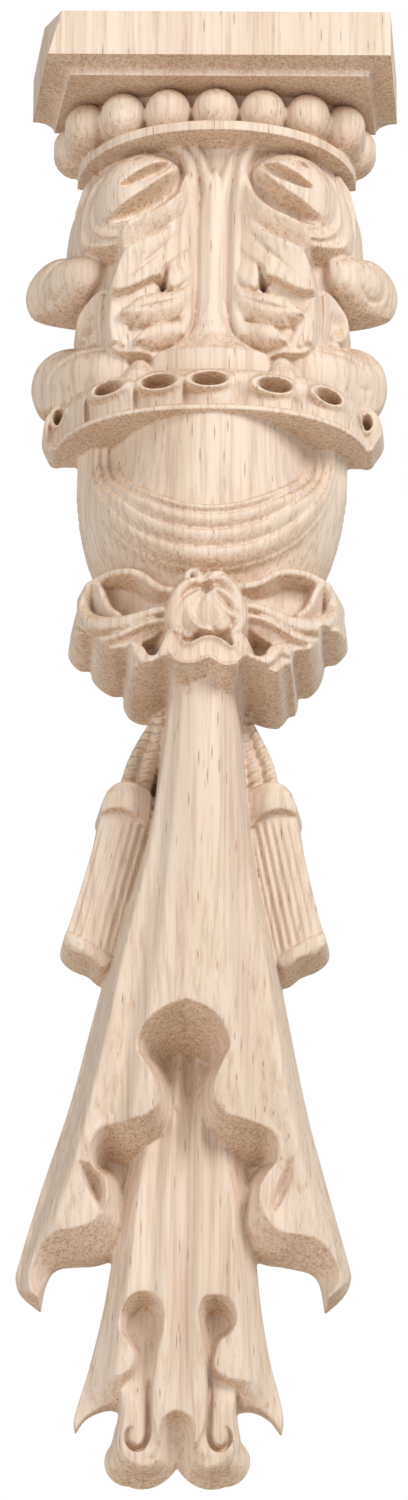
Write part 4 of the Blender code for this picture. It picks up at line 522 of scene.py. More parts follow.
# Half-height of an eyelet, and how deep a cup is and where it ends over the lip
EYELET_RISE = 2.25
CUP_DEPTH, CUP_FOOT = 3.4, 84.6


def collar(c):
    c.body(LIP_FOOT, RING_TOP, ring_plan)
    # the side of the collar shows one round end, as its band is thick
    for side, out in ((1, 2.8), (-1, 0.9)):
        c.blade(sided([(35, 97, 1.6, 11), (39.6 + 0.7 * out, 94.8, 2.4, 11), (41.8 + out, 90, 2.4, 11),
            (41.0 + 0.7 * out, 84.8, 1.6, 11)], side), steep=14)
    w = c.window(-44, 45, LIP_FOOT, RING_TOP)
    X, Z = c.X[w], c.Z[w]
    cut = np.zeros(X.shape)
    for (x0, z0, half), left, right in zip(EYELETS, CUP_EDGES, CUP_EDGES[1:]):
        rho = np.hypot((X - x0) / half, (Z - z0) / EYELET_RISE)
        cut += 7.0 * (1 - ease(rho, 0.8, 1.05)) - 0.9 * np.exp(-((rho - 1.25) / 0.3) ** 2)
        # the cup starts behind the edge on its left and swells out to the next one
        t = (X - left) / (right - left)
        deep = CUP_DEPTH * (1 - np.clip(t, 0, 1)) ** 1.5 * ease(rho, 1.3, 1.7)
        deep = deep * ease(Z, CUP_FOOT - 0.3, CUP_FOOT + 0.3) * (1 - ease(Z, 89.5, 95.5))
        cut += np.where((t >= 0) & (t < 1), deep, 0)
    c.D[w] -= np.where(c.D[w] > 0, cut, 0)
    # two tongues stand up from its rim
    for side, top in ((1, 99.6), (-1, 98.8)):
        c.blade([(19 * side, 96.4, 3.4, 33.5), (19 * side, top, 2.2, 31.5)], dome(1.5), steep=3)


# Bulb
BULB_FOOT, BULB_AXIS = 26, 1.0
# Height range over which the belly draws in, so that the swags' gathers lie back beside it under the lip
GATHER_FOOT, GATHER_TOP = 58, 80
BELLY_HALF = [(58, 14), (62, 19.5), (66, 22.9), (70, 25.2), (75, 26.8), (80, 27.3), (84, 27.3)]
FLANK_DEPTH = 12.6
BELLY_BLEND = 3.0


def bulb_plan(x, z):
    """Depth of the bulb: half-round at its foot, a belly with a flank on each side under the lip"""
    width = knots(z, [(26, 19.4), (35, 25.6), (44, 29.4), (55, 33.7), (66, 36.1), (76, 37), (84, 37)])
    depth = knots(z, [(26, 28), (35, 32), (44, 35.5), (55, 37.8), (66, 38.8), (76, 39), (84, 38.6)])
    whole = plan(x - BULB_AXIS, width - 0.2, depth, 2.15)
    belly = np.maximum(plan(x - BULB_AXIS, knots(z, BELLY_HALF), depth, 2), 0)
    flank = plan(x - BULB_AXIS, width - 0.2, FLANK_DEPTH, 7)
    drawn_in = 0.5 * (belly + flank + np.hypot(belly - flank, BELLY_BLEND))
    drawn_in = np.where(flank > 0, drawn_in, flank)
    share = ease(z, GATHER_FOOT, GATHER_TOP)
    return (1 - share) * whole + share * drawn_in


# The swags hang from this height; half-width there and lowest point of each
SWAG_TOP = 80.0
SWAGS = [(25.4, 55.9), (27.8, 53.6), (29.9, 49.4), (32.2, 44.6), (33.6, 39.8)]
# How far below the last swag a thin fold runs
LAST_FOLD = 0.7


def bulb(c):
    c.body(BULB_FOOT, LIP_FOOT, bulb_plan)
    w = c.window(-40, 40, BULB_FOOT, LIP_FOOT)
    X, Z = c.X[w], c.Z[w]
    levels = []
    for half, low in SWAGS:
        r = np.hypot((X - BULB_AXIS) / half, (Z - SWAG_TOP) / (SWAG_TOP - low))
        levels.append((r - 1) * (SWAG_TOP - low))
    relief = np.zeros(X.shape)
    # each fold is a rounded roll between two of these lines
    for inner, outer in zip(levels[:-1], levels[1:]):
        t = np.clip(inner / np.maximum(inner - outer, 0.3), 0, 1)
        roll = 1.9 * np.sqrt(np.clip(1 - (2 * t - 1) ** 2, 0, 1)) + 1.0 * (1 - t) - 0.4
        relief += np.where((inner > 0) & (outer < 0), roll, 0)
    relief += np.where(levels[-1] > 0, -0.6, 0)
    # a thin fold runs round below the last swag
    last = levels[-1] - LAST_FOLD
    relief += np.where(last > 0, -0.9, 0) + 0.9 * np.exp(-(last / 0.55) ** 2)
    c.D[w] += np.where(c.D[w] > 3, relief, 0)


# Bow, knot and ruffle
# Where the bow meets the wall: one bell after another, with a cusp between each two
BOW_BELLS = [
    [(-28, 50), (-33.4, 48.6), (-34.6, 44), (-34.6, 37), (-36.2, 31), (-36.2, 26.8), (-33.4, 23.4),
     (-30.2, 23.1)], [(-30.2, 23.1), (-29.6, 20.4), (-27.1, 17.6), (-24, 15.9), (-21.2, 16)],
    [(-21.2, 16), (-21, 12.6), (-19.4, 9.6), (-16.4, 8), (-13, 7.9), (-10, 9)],
    [(12, 9), (15, 8), (17.6, 7.2), (21, 7), (23.9, 8.8), (25.6, 12.2), (25.8, 15.7)],
    [(25.8, 15.7), (28.6, 15.9), (30.9, 18.2), (32.3, 21.4), (32.8, 24.9)],
    [(32.8, 24.9), (36, 25.6), (38.7, 29), (38.6, 33), (37.9, 38), (37.7, 44), (36, 48.8), (30, 51)]]
UNDER_LIP = [(-9.5, -2), (11.5, -2)]
BOW_FOOT = [point for bell in BOW_BELLS[:3] + [UNDER_LIP] + BOW_BELLS[3:] for point in smooth(bell)]
BOW_SHIFT = 1.0
# Half of the bow as it stands in front of the wall
BOW_OUTLINE = [(0, 30), (8.5, 33.2), (13, 35), (17.4, 39.4), (21, 41.4), (25, 42), (31, 42.2), (34, 40),
    (35.2, 36), (36, 32), (36.4, 28.5), (36.2, 25.4), (34, 22.9), (31, 21.4), (30.2, 18.6), (28.4, 15.4),
    (26.6, 13.4), (23.4, 13.6), (20.6, 12.2), (18.6, 9.6), (15, 8.6), (11, 8.8), (0, 12)]
BOW_DEPTH = [(36, 29, 8), (35.5, 34, 7), (33.5, 40.5, 8), (34.6, 25.4, 12), (32, 22.4, 20), (30, 19.6, 25),
    (27.4, 15.6, 29.5), (21, 13.5, 34), (15, 10.6, 38), (9, 12, 40), (12, 20, 33), (20, 21, 31),
    (27, 22.5, 28), (31, 27, 23), (28, 33, 21), (24, 37, 22), (15, 34.5, 30), (4, 28, 36)]

BOW_DROP = 0.6


def bow_side(points, side):
    """Points of the bow's right half put on either side. The knot sits left of the loops' middle, and the
    ribbons meet it a little lower on its left"""
    out = []
    for x, z, *rest in points:
        drop = BOW_DROP * side * (1 - ease(x, 12, 24)) * ease(z, 20, 22)
        out.append((x * side + BOW_SHIFT * ease(x, 6, 16), z + drop, *rest))
    return out


def bow(c):
    """Both halves of the bow, and the knot between them"""
    for side in (1, -1):
        def s(points):
            return bow_side(points, side)
        patch(c, 1, s(BOW_OUTLINE), s(BOW_DEPTH), steep=13)
        # the inside of the loop, and the pocket under the ribbon
        hollow(c,
            s([(8.6, 31.4), (12.6, 33), (16, 36.2), (19, 39.4), (23, 40.6), (27, 40.8), (30.4, 38),
               (30.6, 33), (27.5, 28.6), (22, 26.6), (16, 28.2), (9.4, 28.6)]),
            s([(9, 30.4, 33.5), (14, 31.5, 27), (19, 34, 21.5), (25, 35, 18.5), (29, 37.5, 16.5),
               (26, 40, 18), (27, 30, 20), (20, 29, 23), (13, 29, 28)]))
        hollow(c,
            s([(17, 19.4), (16.6, 16.6), (14.2, 14), (10.6, 14.2), (8.4, 18), (8, 21.6), (8.6, 23.4),
               (11.5, 21.6), (14.6, 20.2)]),
            s([(16.6, 18.6, 29), (13.6, 15.2, 26), (10, 16, 26.5), (8.6, 21, 31), (12.2, 19.6, 27)]))
        # top ribbon of the loop, and the fold seen inside it
        c.blade(s([(7.5, 33, 1, 36.5), (11.5, 34, 1, 35.2), (14.6, 36.2, 1, 33.2), (17.6, 39.2, 1, 31),
            (21.4, 41.1, 1, 28.5), (26, 41.7, 1, 25), (30.2, 41, 1.1, 21)]), dome(0.4), steep=7)
        c.blade(s([(30.4, 41, 0.9, 20.5), (28.9, 38.4, 0.9, 22), (27.8, 35.2, 0.9, 23),
            (26.4, 31.8, 0.9, 25), (24, 28.8, 0.9, 28)]), dome(0.8), steep=4)
        # the ribbon that comes round under the loop
        c.blade(s([(8.8, 27, 1, 37.6), (13, 27, 1.2, 36.8), (17, 26, 1.5, 35.4), (21.5, 24.9, 1.9, 33),
            (26, 25.4, 2.2, 30), (29.9, 27.6, 2.2, 26), (32.6, 31.6, 1.9, 21), (33.2, 36, 1.6, 17.5),
            (31.6, 40.2, 1.4, 19.5)]), lambda t: 1.0 - 1.2 * t ** 4, steep=5, count=140)
        # the ribbon end under that, its face and its edge
        patch(c, 1,
            s([(8.6, 24.2), (14.5, 24), (19, 22.8), (23.6, 21.2), (27.6, 21.2), (26.6, 18.6), (21, 18.2),
               (15, 19.6), (9.6, 23.2)]),
            s([(9, 23.8, 37), (14.5, 23.4, 35.8), (19, 22.2, 34), (23.6, 20.6, 32), (27, 20.4, 29),
               (24.6, 18.8, 28.5), (15, 20.2, 33.6), (10, 23.2, 36)]), steep=12)
        c.blade(s([(8.6, 24.2, 0.7, 38), (12.5, 24.1, 0.7, 37.4), (15.8, 23.6, 0.8, 36.4),
            (19, 22.5, 0.8, 35), (23.5, 21, 0.9, 32.8), (27.6, 20.9, 0.9, 30), (31.4, 22.4, 0.9, 26.6),
            (33.8, 26.2, 0.9, 22), (34.4, 29.6, 0.8, 17.5)]), dome(0.5), steep=4, count=140)
    knot(c)


def knot(c):
    """A bud of three petals in a ring of ribbon"""
    # the ring of ribbon round the bud: a broad band with its inner edge turned in
    patch(c, 1,
        [(0.8, 35.6), (4.6, 36.8), (8, 33.4), (10.2, 29), (11.2, 25), (10.6, 20.6), (9, 17.8), (4, 16.4),
         (-2, 16.4), (-6.4, 18.6), (-9.2, 21.6), (-9.9, 25), (-9.4, 28.6), (-8.2, 31.8), (-6.2, 33.8),
         (-3.2, 34.8)],
        [(0.8, 35, 38.2), (4.6, 36, 37.6), (8.4, 31.4, 38.6), (10.4, 26.6, 38.4), (9.4, 20, 39),
         (1, 17.5, 37), (-6.4, 20, 38.6), (-9.4, 25, 37.8), (-7.9, 31.2, 38), (-3.4, 34, 38.4),
         (1, 28, 38.2), (-6.6, 26, 38.2), (8.2, 26.6, 38.4)], steep=14, soft=0.5)
    c.blade([(-0.6, 33.4, 0.7, 39.2), (-2.8, 34, 1, 39.4), (-5.2, 32.8, 1.2, 39.5), (-7, 30.4, 1.3, 39.6),
        (-8, 27, 1.5, 39.8), (-8.3, 23.6, 1.5, 40), (-7.6, 20.8, 1.3, 40.4), (-6, 19, 1, 40.8)], dome(0.9),
        steep=7)
    c.blade([(3.4, 34.9, 0.8, 38.8), (5.6, 34.6, 1.2, 39.1), (7.9, 31.6, 1.3, 39.4), (9.5, 28, 1.2, 39.6),
        (10.1, 24.4, 1.2, 39.8), (9.4, 21, 1.3, 40.4), (7.9, 18.8, 1, 40.8)], dome(0.9), steep=7)
    # the ribbon's loops above the bud
    c.blade([(-4.9, 34.4, 0.7, 38.4), (-4.4, 36.4, 0.8, 38.2), (-3.2, 37.4, 0.8, 38.2),
        (-1.9, 36.6, 0.8, 38.8), (-1.2, 34.4, 0.7, 39.8)], dome(0.6), steep=5)
    c.blade([(1.4, 34.2, 0.7, 39.8), (2.4, 35.9, 0.9, 39.2), (4.2, 36.6, 0.9, 38.4)], dome(0.6), steep=4)
    # petals of the bud, gathered at a small hole
    patch(c, 1,
        [(-0.2, 30.8), (-2.4, 29.8), (-4.4, 28.4), (-6.2, 26.2), (-7, 23.4), (-6.9, 20.6), (-5.4, 18.4),
         (-3, 18), (-0.4, 19.2), (1.6, 19.6), (0.6, 22), (-0.6, 24.6), (-0.2, 28)],
        [(-0.6, 30.2, 40.2), (-3.4, 28.4, 40.2), (-5.8, 25.4, 39.8), (-6.4, 21, 39.6), (-4.6, 18.8, 39.2),
         (-3, 26.4, 40.4), (-4.6, 22, 38.8), (-2.6, 20, 39.6), (-1.2, 24, 40.4), (0.4, 20.2, 40.8)], steep=5,
        soft=0.4)
    c.blade([(-0.6, 30.6, 0.6, 40.6), (-3.6, 28.6, 0.8, 40.6), (-5.9, 26, 0.9, 40.4),
        (-6.7, 23.2, 0.9, 40.3), (-6.5, 20.4, 0.7, 40.2)], dome(0.5), steep=2)
    c.blade([(-2.4, 28.6, 0.6, 40.6), (-3.9, 26.6, 0.7, 40.9), (-3.7, 24.2, 0.7, 41.1),
        (-2.7, 22, 0.7, 41.4), (-0.9, 20.3, 0.7, 41.6), (1.7, 19.4, 0.6, 41.6)], dome(0.5), steep=2)
    patch(c, 1,
        [(0.6, 30.4), (-0.4, 28.4), (-1.2, 26.6), (-1.5, 24.6), (-0.9, 22.6), (0.5, 20.9), (2.4, 19.9),
         (4.8, 19.3), (6.8, 20.4), (7.4, 22.4), (6.4, 24.6), (4.4, 27), (2.4, 29.6)],
        [(0.7, 29.8, 40.8), (-1, 25, 41), (0.6, 22, 41.6), (3.6, 20.2, 41.4), (6.6, 21.6, 41.2),
         (6, 24.6, 41.6), (4, 27, 41.4), (2.6, 25, 42.4), (3.2, 22.6, 42.8), (0.8, 26.6, 42)], steep=5,
        soft=0.4)
    patch(c, 1,
        [(2.2, 31.6), (5, 30.7), (7.6, 28.3), (8.9, 25.6), (8.5, 23.4), (7.2, 23.6), (5.4, 25.4),
         (3.7, 27.5), (2, 29.9)],
        [(2.4, 31, 40.4), (5.2, 30, 40.2), (8.2, 26.2, 40), (8, 24, 40.4), (5.4, 27.4, 39.2),
         (7, 26.2, 39.2), (3.2, 29.6, 39.8)], steep=5, soft=0.3)
    c.blade([(1.9, 31.6, 0.6, 40.6), (5, 30.5, 0.7, 40.8), (7.7, 28.2, 0.7, 40.8), (8.8, 25.8, 0.7, 40.8)],
        dome(0.5), steep=2)
    c.blade([(1.9, 30.2, 0.6, 41), (3.8, 27.2, 0.7, 41.6), (5.6, 25, 0.7, 41.9), (7.8, 23.5, 0.7, 41.7)],
        dome(0.5), steep=2)
    # the hole, and the small grooves that run into it
    c.blade([(0.6, 33.8, 0.9, 39), (1, 36.2, 1.1, 37.6)], dome(0.5), steep=3)
    hollow(c,
        [(0.7, 33.9), (2.1, 33.4), (2.6, 32.1), (2, 30.8), (0.7, 30.3), (-0.6, 30.8), (-1, 32.1),
         (-0.6, 33.4)], [(0.7, 33.8, 38), (2.4, 32, 37), (0.7, 30.4, 36.6), (-0.8, 32, 37), (0.7, 32, 35)],
        steep=1)
    c.groove([(-1, 29.9, 0.4, 0.4), (-0.2, 31, 0.5, 1)])
    c.groove([(0.1, 29.4, 0.4, 0.4), (0.4, 30.8, 0.5, 1)])
    hollow(c,
        [(-4.2, 17.2), (-2.8, 18.4), (-0.6, 19.4), (1.6, 18.8), (4.6, 18.6), (7, 19.6), (6.6, 17),
         (4.6, 15.6), (0, 16.4), (-2.8, 15.2)],
        [(-3.4, 17.2, 38), (0, 18.6, 36), (5, 17.4, 36), (6.8, 18.6, 38)], steep=3)


# The ruffle's rim, from under the ribbon end to the lip in the middle
RIM = [(27.2, 20.6, 1.1, 28.5), (26.8, 18, 1.2, 30.5), (24.4, 16.2, 1.3, 32), (21.6, 16, 1.5, 34),
    (19.6, 16.6, 1.6, 35.5), (17.8, 15.2, 1.6, 37), (16.2, 12.4, 1.5, 38.5), (13.6, 11.4, 1.5, 39.6),
    (11, 12.4, 1.6, 40.4), (9.4, 15.4, 1.6, 41), (8.6, 19, 1.2, 40)]
LIP = [(-7.4, 17.8, 1.3, 41), (-7, 14.9, 2.1, 41.4), (-5.2, 12.7, 2.6, 41.8), (-2.8, 12.4, 2.8, 42),
    (-0.4, 13.6, 2.9, 42.1), (1.8, 14.4, 3, 42.2), (4, 13.6, 2.9, 42.1), (6.4, 12, 2.8, 42),
    (8.9, 12.7, 2.4, 41.6), (10.2, 15.4, 1.9, 41.2), (8.6, 18.4, 1.2, 41)]

# The bell's rim under the lip
BELL_RIM = [(-9.6, 12.6), (-7.8, 10.4), (-5, 9.4), (-2.7, 9.5), (-0.6, 10.4), (1.8, 10.9), (3.6, 10.2),
    (6, 8.9), (8.6, 9.1), (11, 10.6), (12.2, 13), (8, 15), (0, 15.6), (-6, 15)]


def bell_fall(x, z):
    """How steeply the bell under the lip runs back: gently over the drape, steeply beside it"""
    return 2.4 + 7 * ease(np.abs(x - 0.6), 7, 10.5)


def ruffle(c):
    for side in (1, -1):
        def s(points):
            return bow_side(points, side)
        c.blade(s(RIM), lambda t: 0.8 * (1 - t ** 4), steep=8, count=160)
    # the bell under the lip, which runs back to the drape
    c.plateau(smooth(BELL_RIM, closed=True), lambda x, z: 40.8 - 0.03 * (x - 1) ** 2, steep=bell_fall)
    for x0, z0, x1, z1 in ((-3.6, 11.2, -3.6, 5.2), (4.4, 11.6, 4.2, 5.2)):
        c.groove([(x0, z0, 0.7, 0.4), (0.5 * (x0 + x1), 0.5 * (z0 + z1), 1.3, 1.4), (x1, z1, 1.3, 0.8)])
    c.blade(LIP, lambda t: 1.5 * t ** 4 - 0.6, steep=6, count=140)
    trim(c, BOW_FOOT, 4, 45)


# Drape
DRAPE_WIDTH = [(14, 9.5), (3.6, 10.9), (-29, 14.6), (-65, 23.2), (-98, 30.2), (-121, 36.2), (-141, 42),
    (-148, 43), (-156, 43)]
# Lines of the folds from the middle out: height, share of the half width, depth
DRAPE_FOLDS = [[(14, 0, 35), (-29, 0, 34.4), (-65, 0, 32), (-98, 0, 27.5), (-150, 0, 17)],
    [(14, 0.42, 33.8), (-29, 0.40, 32.8), (-65, 0.38, 30.4), (-98, 0.42, 25.8), (-121, 0.45, 20.6),
     (-150, 0.45, 15)],
    [(14, 0.66, 31.2), (-29, 0.62, 29.2), (-65, 0.60, 25.6), (-98, 0.60, 20.8), (-121, 0.64, 15.6),
     (-150, 0.62, 13)],
    [(14, 0.80, 29.6), (-29, 0.78, 27.8), (-65, 0.78, 25.2), (-98, 0.80, 22.4), (-116, 0.81, 18.6),
     (-135, 0.83, 13.8), (-150, 0.84, 11)],
    [(14, 0.93, 21), (-29, 0.92, 19), (-65, 0.91, 15.4), (-98, 0.91, 13.5), (-121, 0.91, 11.6),
     (-150, 0.93, 8.6)],
    [(14, 1, 8), (-29, 1, 5.5), (-65, 1, 4), (-98, 1, 3.5), (-121, 1, 3), (-150, 1, 2.5)]]


def drape_fall(x, z):
    """How steeply the drape's hems fall to the wall: less so at the wings"""
    return 4.2 - 2.0 * ease(-z, 124, 134)


def drape_depth(x, z):
    return folds(DRAPE_FOLDS, knots(z, DRAPE_WIDTH), x, z)


# Outlines of the drape: its sides, its hem as it stands in front of the wall, and its wings at the wall
SIDE_LEFT = [(-9.5, 14), (-10.6, 3.6), (-14.2, -29), (-23.8, -65), (-31.2, -98), (-37.8, -121),
    (-42.9, -140.5), (-43.8, -145.5), (-42.3, -149.8), (-37.3, -154)]
SIDE_RIGHT = [(9.5, 14), (11.6, 3.6), (15.2, -29), (22.8, -65), (29.8, -98), (36.1, -121), (41.8, -140.5),
    (42.6, -145.5), (40.6, -150), (36.4, -154)]
HEM_LEFT = [(-37.1, -154.2), (-39, -151.4), (-40.2, -147.8), (-39.9, -143.4), (-37.6, -138.4), (-33.2, -136),
    (-26.8, -134.6), (-22.8, -132.3), (-20.8, -127.8), (-21.6, -122.4), (-24.6, -119.4), (-25.3, -115.6),
    (-23.8, -111.4), (-21.2, -109), (-16.3, -108.6), (-11.6, -108), (-8.5, -105.2), (-8.8, -100.4),
    (-10.9, -95.9), (-13.8, -91), (-13.6, -86.4), (-11.2, -83), (-6.6, -80), (-1.4, -78.4)]
HEM_RIGHT = [(36.4, -154.2), (38.6, -150.8), (39.8, -146.6), (38.6, -142.2), (36.4, -139.4), (31.8, -137.1),
    (24.8, -136.1), (21, -133.6), (19, -129.4), (18.9, -125.2), (20.6, -121.2), (22.9, -117.4),
    (22.6, -112.8), (19.6, -109.2), (14, -108.6), (9.4, -107.4), (6.4, -103.4), (6.5, -98.6), (8.6, -93.6),
    (9.9, -89.8), (8.3, -85), (4.6, -81), (-1.4, -78.4)]
WING_FOOT_LEFT = [(-37.4, -154), (-36.9, -150), (-36.1, -146.6), (-34.7, -143.8), (-32.2, -142.4),
    (-28.1, -142), (-23.7, -141.7), (-18, -140)]
WING_FOOT_RIGHT = [(36.4, -154), (35.7, -149.5), (34.5, -145.6), (32.2, -143.4), (28.4, -142.4),
    (24.7, -141.7), (21, -141.2), (16, -139.5)]


def drape(c):
    sides = smooth(SIDE_LEFT[::-1]) + smooth(SIDE_RIGHT)
    outline = smooth(HEM_LEFT)[::-1] + sides + smooth(HEM_RIGHT)
    foot = [(-12, -165)] + smooth(WING_FOOT_LEFT)[::-1] + sides + smooth(WING_FOOT_RIGHT) + [(12, -165)]
    # a thin ground joins the whole drape at the wall
    c.plateau(foot, lambda x, z: 3.0 + 0 * x, steep=12)
    c.plateau(outline, drape_depth, steep=drape_fall, squash=0.6, foot=foot)
    # the hem turns over itself at the notch above the left wing
    c.groove([(-27.6, -119.2, 0.8, 1), (-25.6, -121.2, 2, 4.2), (-23.6, -124.2, 2.4, 5),
        (-22.4, -128, 1.6, 2.6), (-22.2, -131.5, 0.8, 0.4)])
    c.groove([(26.8, -117.5, 0.7, 0.5), (25.4, -122, 1.5, 2), (23.6, -126.5, 1.6, 2.4),
        (22, -131, 1.1, 0.8)])
    # a thin rim at the ends of the arch, as a cut that raises
    c.groove([(-24.6, -119.4, 0.9, 0), (-25.6, -115.4, 0.9, -0.9), (-24.2, -110.8, 0.9, -0.9),
        (-21.4, -107.6, 0.8, 0)])
    c.groove([(22.4, -120, 0.9, 0), (23.4, -116.4, 0.9, -0.8), (22.8, -111.8, 0.9, -0.8),
        (20, -107.9, 0.8, 0)])


# Tail under the drape
TAIL_AXIS = -0.6
TAIL_WIDTH = [(-80, 8), (-100, 12), (-128, 18), (-150, 20.3), (-170, 23), (-186, 27)]
TAIL_FOLDS = [[(-80, 0, 3), (-95, 0, 6.5), (-110, 0, 10.8), (-150, 0, 11), (-186, 0, 10.5)],
    [(-80, 0.2, 5), (-95, 0.26, 11), (-110, 0.26, 15.2), (-150, 0.22, 15.2), (-186, 0.16, 11.6)],
    [(-80, 0.4, 5), (-95, 0.44, 9.5), (-110, 0.46, 12.4), (-150, 0.46, 12.6), (-186, 0.4, 10)],
    [(-80, 0.6, 4), (-95, 0.62, 8), (-110, 0.64, 11.5), (-150, 0.66, 14), (-170, 0.66, 11.8),
     (-186, 0.7, 7.5)],
    [(-80, 0.85, 4), (-110, 0.82, 8), (-150, 0.86, 7.4), (-170, 0.84, 7.6), (-186, 0.88, 5.5)],
    [(-80, 1, 3), (-110, 1, 3.5), (-150, 1, 3), (-186, 1, 2.5)]]
# Outlines of the tail: its sides, its hem, its foot at the wall and the band down its middle
TAIL_LEFT = [(-10, -80), (-18, -128), (-19.4, -141.6), (-21.2, -154.5), (-24.2, -169), (-26.6, -178),
    (-27.7, -183), (-27.3, -186.2)]
TAIL_RIGHT = [(10, -80), (17.5, -128), (18.4, -141.5), (20, -154.3), (22.4, -167), (25.2, -177),
    (26.2, -182.5), (25.8, -186.8)]
TAIL_HEM_LEFT = [(-27.3, -186.2), (-27, -183.4), (-26, -178.6), (-24.2, -175.2), (-21.5, -174),
    (-15.8, -173.3), (-13.1, -171.2), (-12.6, -167.9), (-14.3, -164.9), (-16.2, -162), (-16.5, -159),
    (-16, -155.9), (-14.2, -153.3), (-11, -151.6), (-8.2, -152.3), (-6.1, -154.7), (-5.1, -157.8)]
TAIL_HEM_RIGHT = [(3.5, -157.4), (4.6, -153.9), (7.5, -152.4), (10.8, -153.3), (13.1, -156.2),
    (13.5, -159.9), (11.8, -162.9), (9.6, -164.4), (8.4, -168), (8.4, -171.4), (11.3, -173.7),
    (15.7, -174.5), (20, -174.3), (22.8, -177.2), (24.9, -182), (25.8, -186.8)]
TAIL_FOOT_LEFT = [(-27.3, -186.6), (-24.8, -182.8), (-21.6, -180.9), (-18.3, -180.2), (-15, -181)]
TAIL_FOOT_RIGHT = [(25.9, -187), (22.9, -183), (19.7, -181), (16.7, -180.4), (13, -181.2)]
MIDDLE_BAND = [(-5.1, -157.8), (-5.2, -162), (-6.4, -168), (-7.4, -175), (-7.4, -181), (-6.8, -186),
    (-5.4, -190), (-3.8, -191), (-3.2, -187), (-2.8, -184), (-0.9, -182.4), (1.4, -184), (1.9, -187),
    (2.6, -191), (4.4, -190), (5.8, -186), (6.2, -181), (6, -175), (5.4, -168), (4.3, -162), (3.5, -157.4)]
# Front of the two lobes, over which the middle band parts
LOBES = [(-6.2, -150), (-12.5, -152), (-16.5, -164), (-16.5, -172), (-16.3, -181), (-17.2, -185.5),
    (-17.8, -190), (-16.8, -194), (-13.8, -197.2), (-9.4, -198.4), (-5.6, -197.4), (-3, -194.6),
    (-2, -192.9), (-0.4, -192.2), (1, -193), (1.9, -195.2), (3.7, -197.6), (6.7, -198.8), (11.2, -197.6),
    (14.7, -194), (15.6, -190), (14.9, -185.3), (14.3, -181.2), (14.5, -172), (13.6, -164), (10.5, -152)]
# Depth of the notch between the lobes
NOTCH_SLOPE = [(-181, 9.5), (-184, 6.8), (-188, 4.2), (-192, 2.2), (-196, 1.5)]


def tail_fall(x, z):
    """How steeply the tail's hems fall to the wall: gently at the two tips"""
    return 4.0 - 2.9 * ease(np.abs(x), 12, 17) * ease(-z, 168, 175)


def tail_depth(x, z):
    return folds(TAIL_FOLDS, knots(z, TAIL_WIDTH), x - TAIL_AXIS, z)


def tail(c):
    lobes = smooth(LOBES, closed=True)
    w = c.window(-30, 30, -203, -148)
    X, Z = c.X[w], c.Z[w]
    out = c.outside(lobes, w)
    swell = 1.3 * np.exp(-(((np.abs(X + 0.9) - 11) / 4) ** 2)) * ease(-Z, 172, 190)
    front = knots(Z, [(-150, 4), (-160, 5), (-172, 7.2), (-182, 8.2), (-200, 7.6)]) + swell
    front = front - 3.4 * (1 - ease(-out, 0, 3.2)) ** 2 * ease(-Z, 176, 186) - 8 * np.maximum(0, out)
    c.D[w] = np.maximum(c.D[w], np.minimum(front, -12 * out))
    sides = smooth(TAIL_LEFT)[::-1] + smooth(TAIL_RIGHT)
    outline = sides + smooth(TAIL_HEM_RIGHT)[::-1] + smooth(MIDDLE_BAND)[::-1] + smooth(TAIL_HEM_LEFT)[::-1]
    foot = sides + smooth(TAIL_FOOT_RIGHT) + [(10, -196), (-10, -196)] + smooth(TAIL_FOOT_LEFT)[::-1]
    c.plateau(outline, tail_depth, steep=tail_fall, squash=0.6, foot=foot)
    # the band parts into two rolls that run out over the lobes
    for side, x0 in ((-1, -1), (1, -0.6)):
        c.blade([(x0 + 3.4 * side, -178, 2, 11), (x0 + 4.0 * side, -184, 2.2, 10.6),
            (x0 + 5.2 * side, -189, 2.4, 9.8), (x0 + 8.0 * side, -193.2, 2.4, 9),
            (x0 + 12 * side, -193.4, 2, 8.4)], lambda t: -1.2 * t * t, steep=1.6)
    # the notch between them slopes back to the wall
    notch = smooth([(-5.4, -187), (-4.2, -183.4), (-1, -180.8), (2.3, -183.4), (3.5, -187), (3.2, -192),
        (2.4, -197), (-3.8, -197), (-5, -192)], closed=True)
    w = c.window(-8, 7, -197, -179)
    out = c.outside(notch, w)
    slope = knots(c.Z[w], NOTCH_SLOPE) + 2.5 * np.maximum(0, 2.2 + out)
    c.D[w] = np.where(out < 0, np.minimum(c.D[w], slope), c.D[w])
    # scrolls: the stem's line and its curl
    for side, x0 in ((-1, -10.9), (1, 9.7)):
        c.groove([(x0 - 3.6 * side, -170, 0.6, 1), (x0 - 2.6 * side, -176, 0.8, 2.6),
            (x0 - 2.5 * side, -184, 0.9, 2.8), (x0 - 2.5 * side, -188, 1, 3.4),
            (x0 - 1.4 * side, -191, 0.9, 3.6), (x0 + 0.6 * side, -191.9, 0.9, 3.6),
            (x0 + 2.5 * side, -190.2, 0.9, 3.4), (x0 + 2.8 * side, -187.8, 0.8, 2.8),
            (x0 + 1.6 * side, -186.4, 0.5, 1)], count=140)


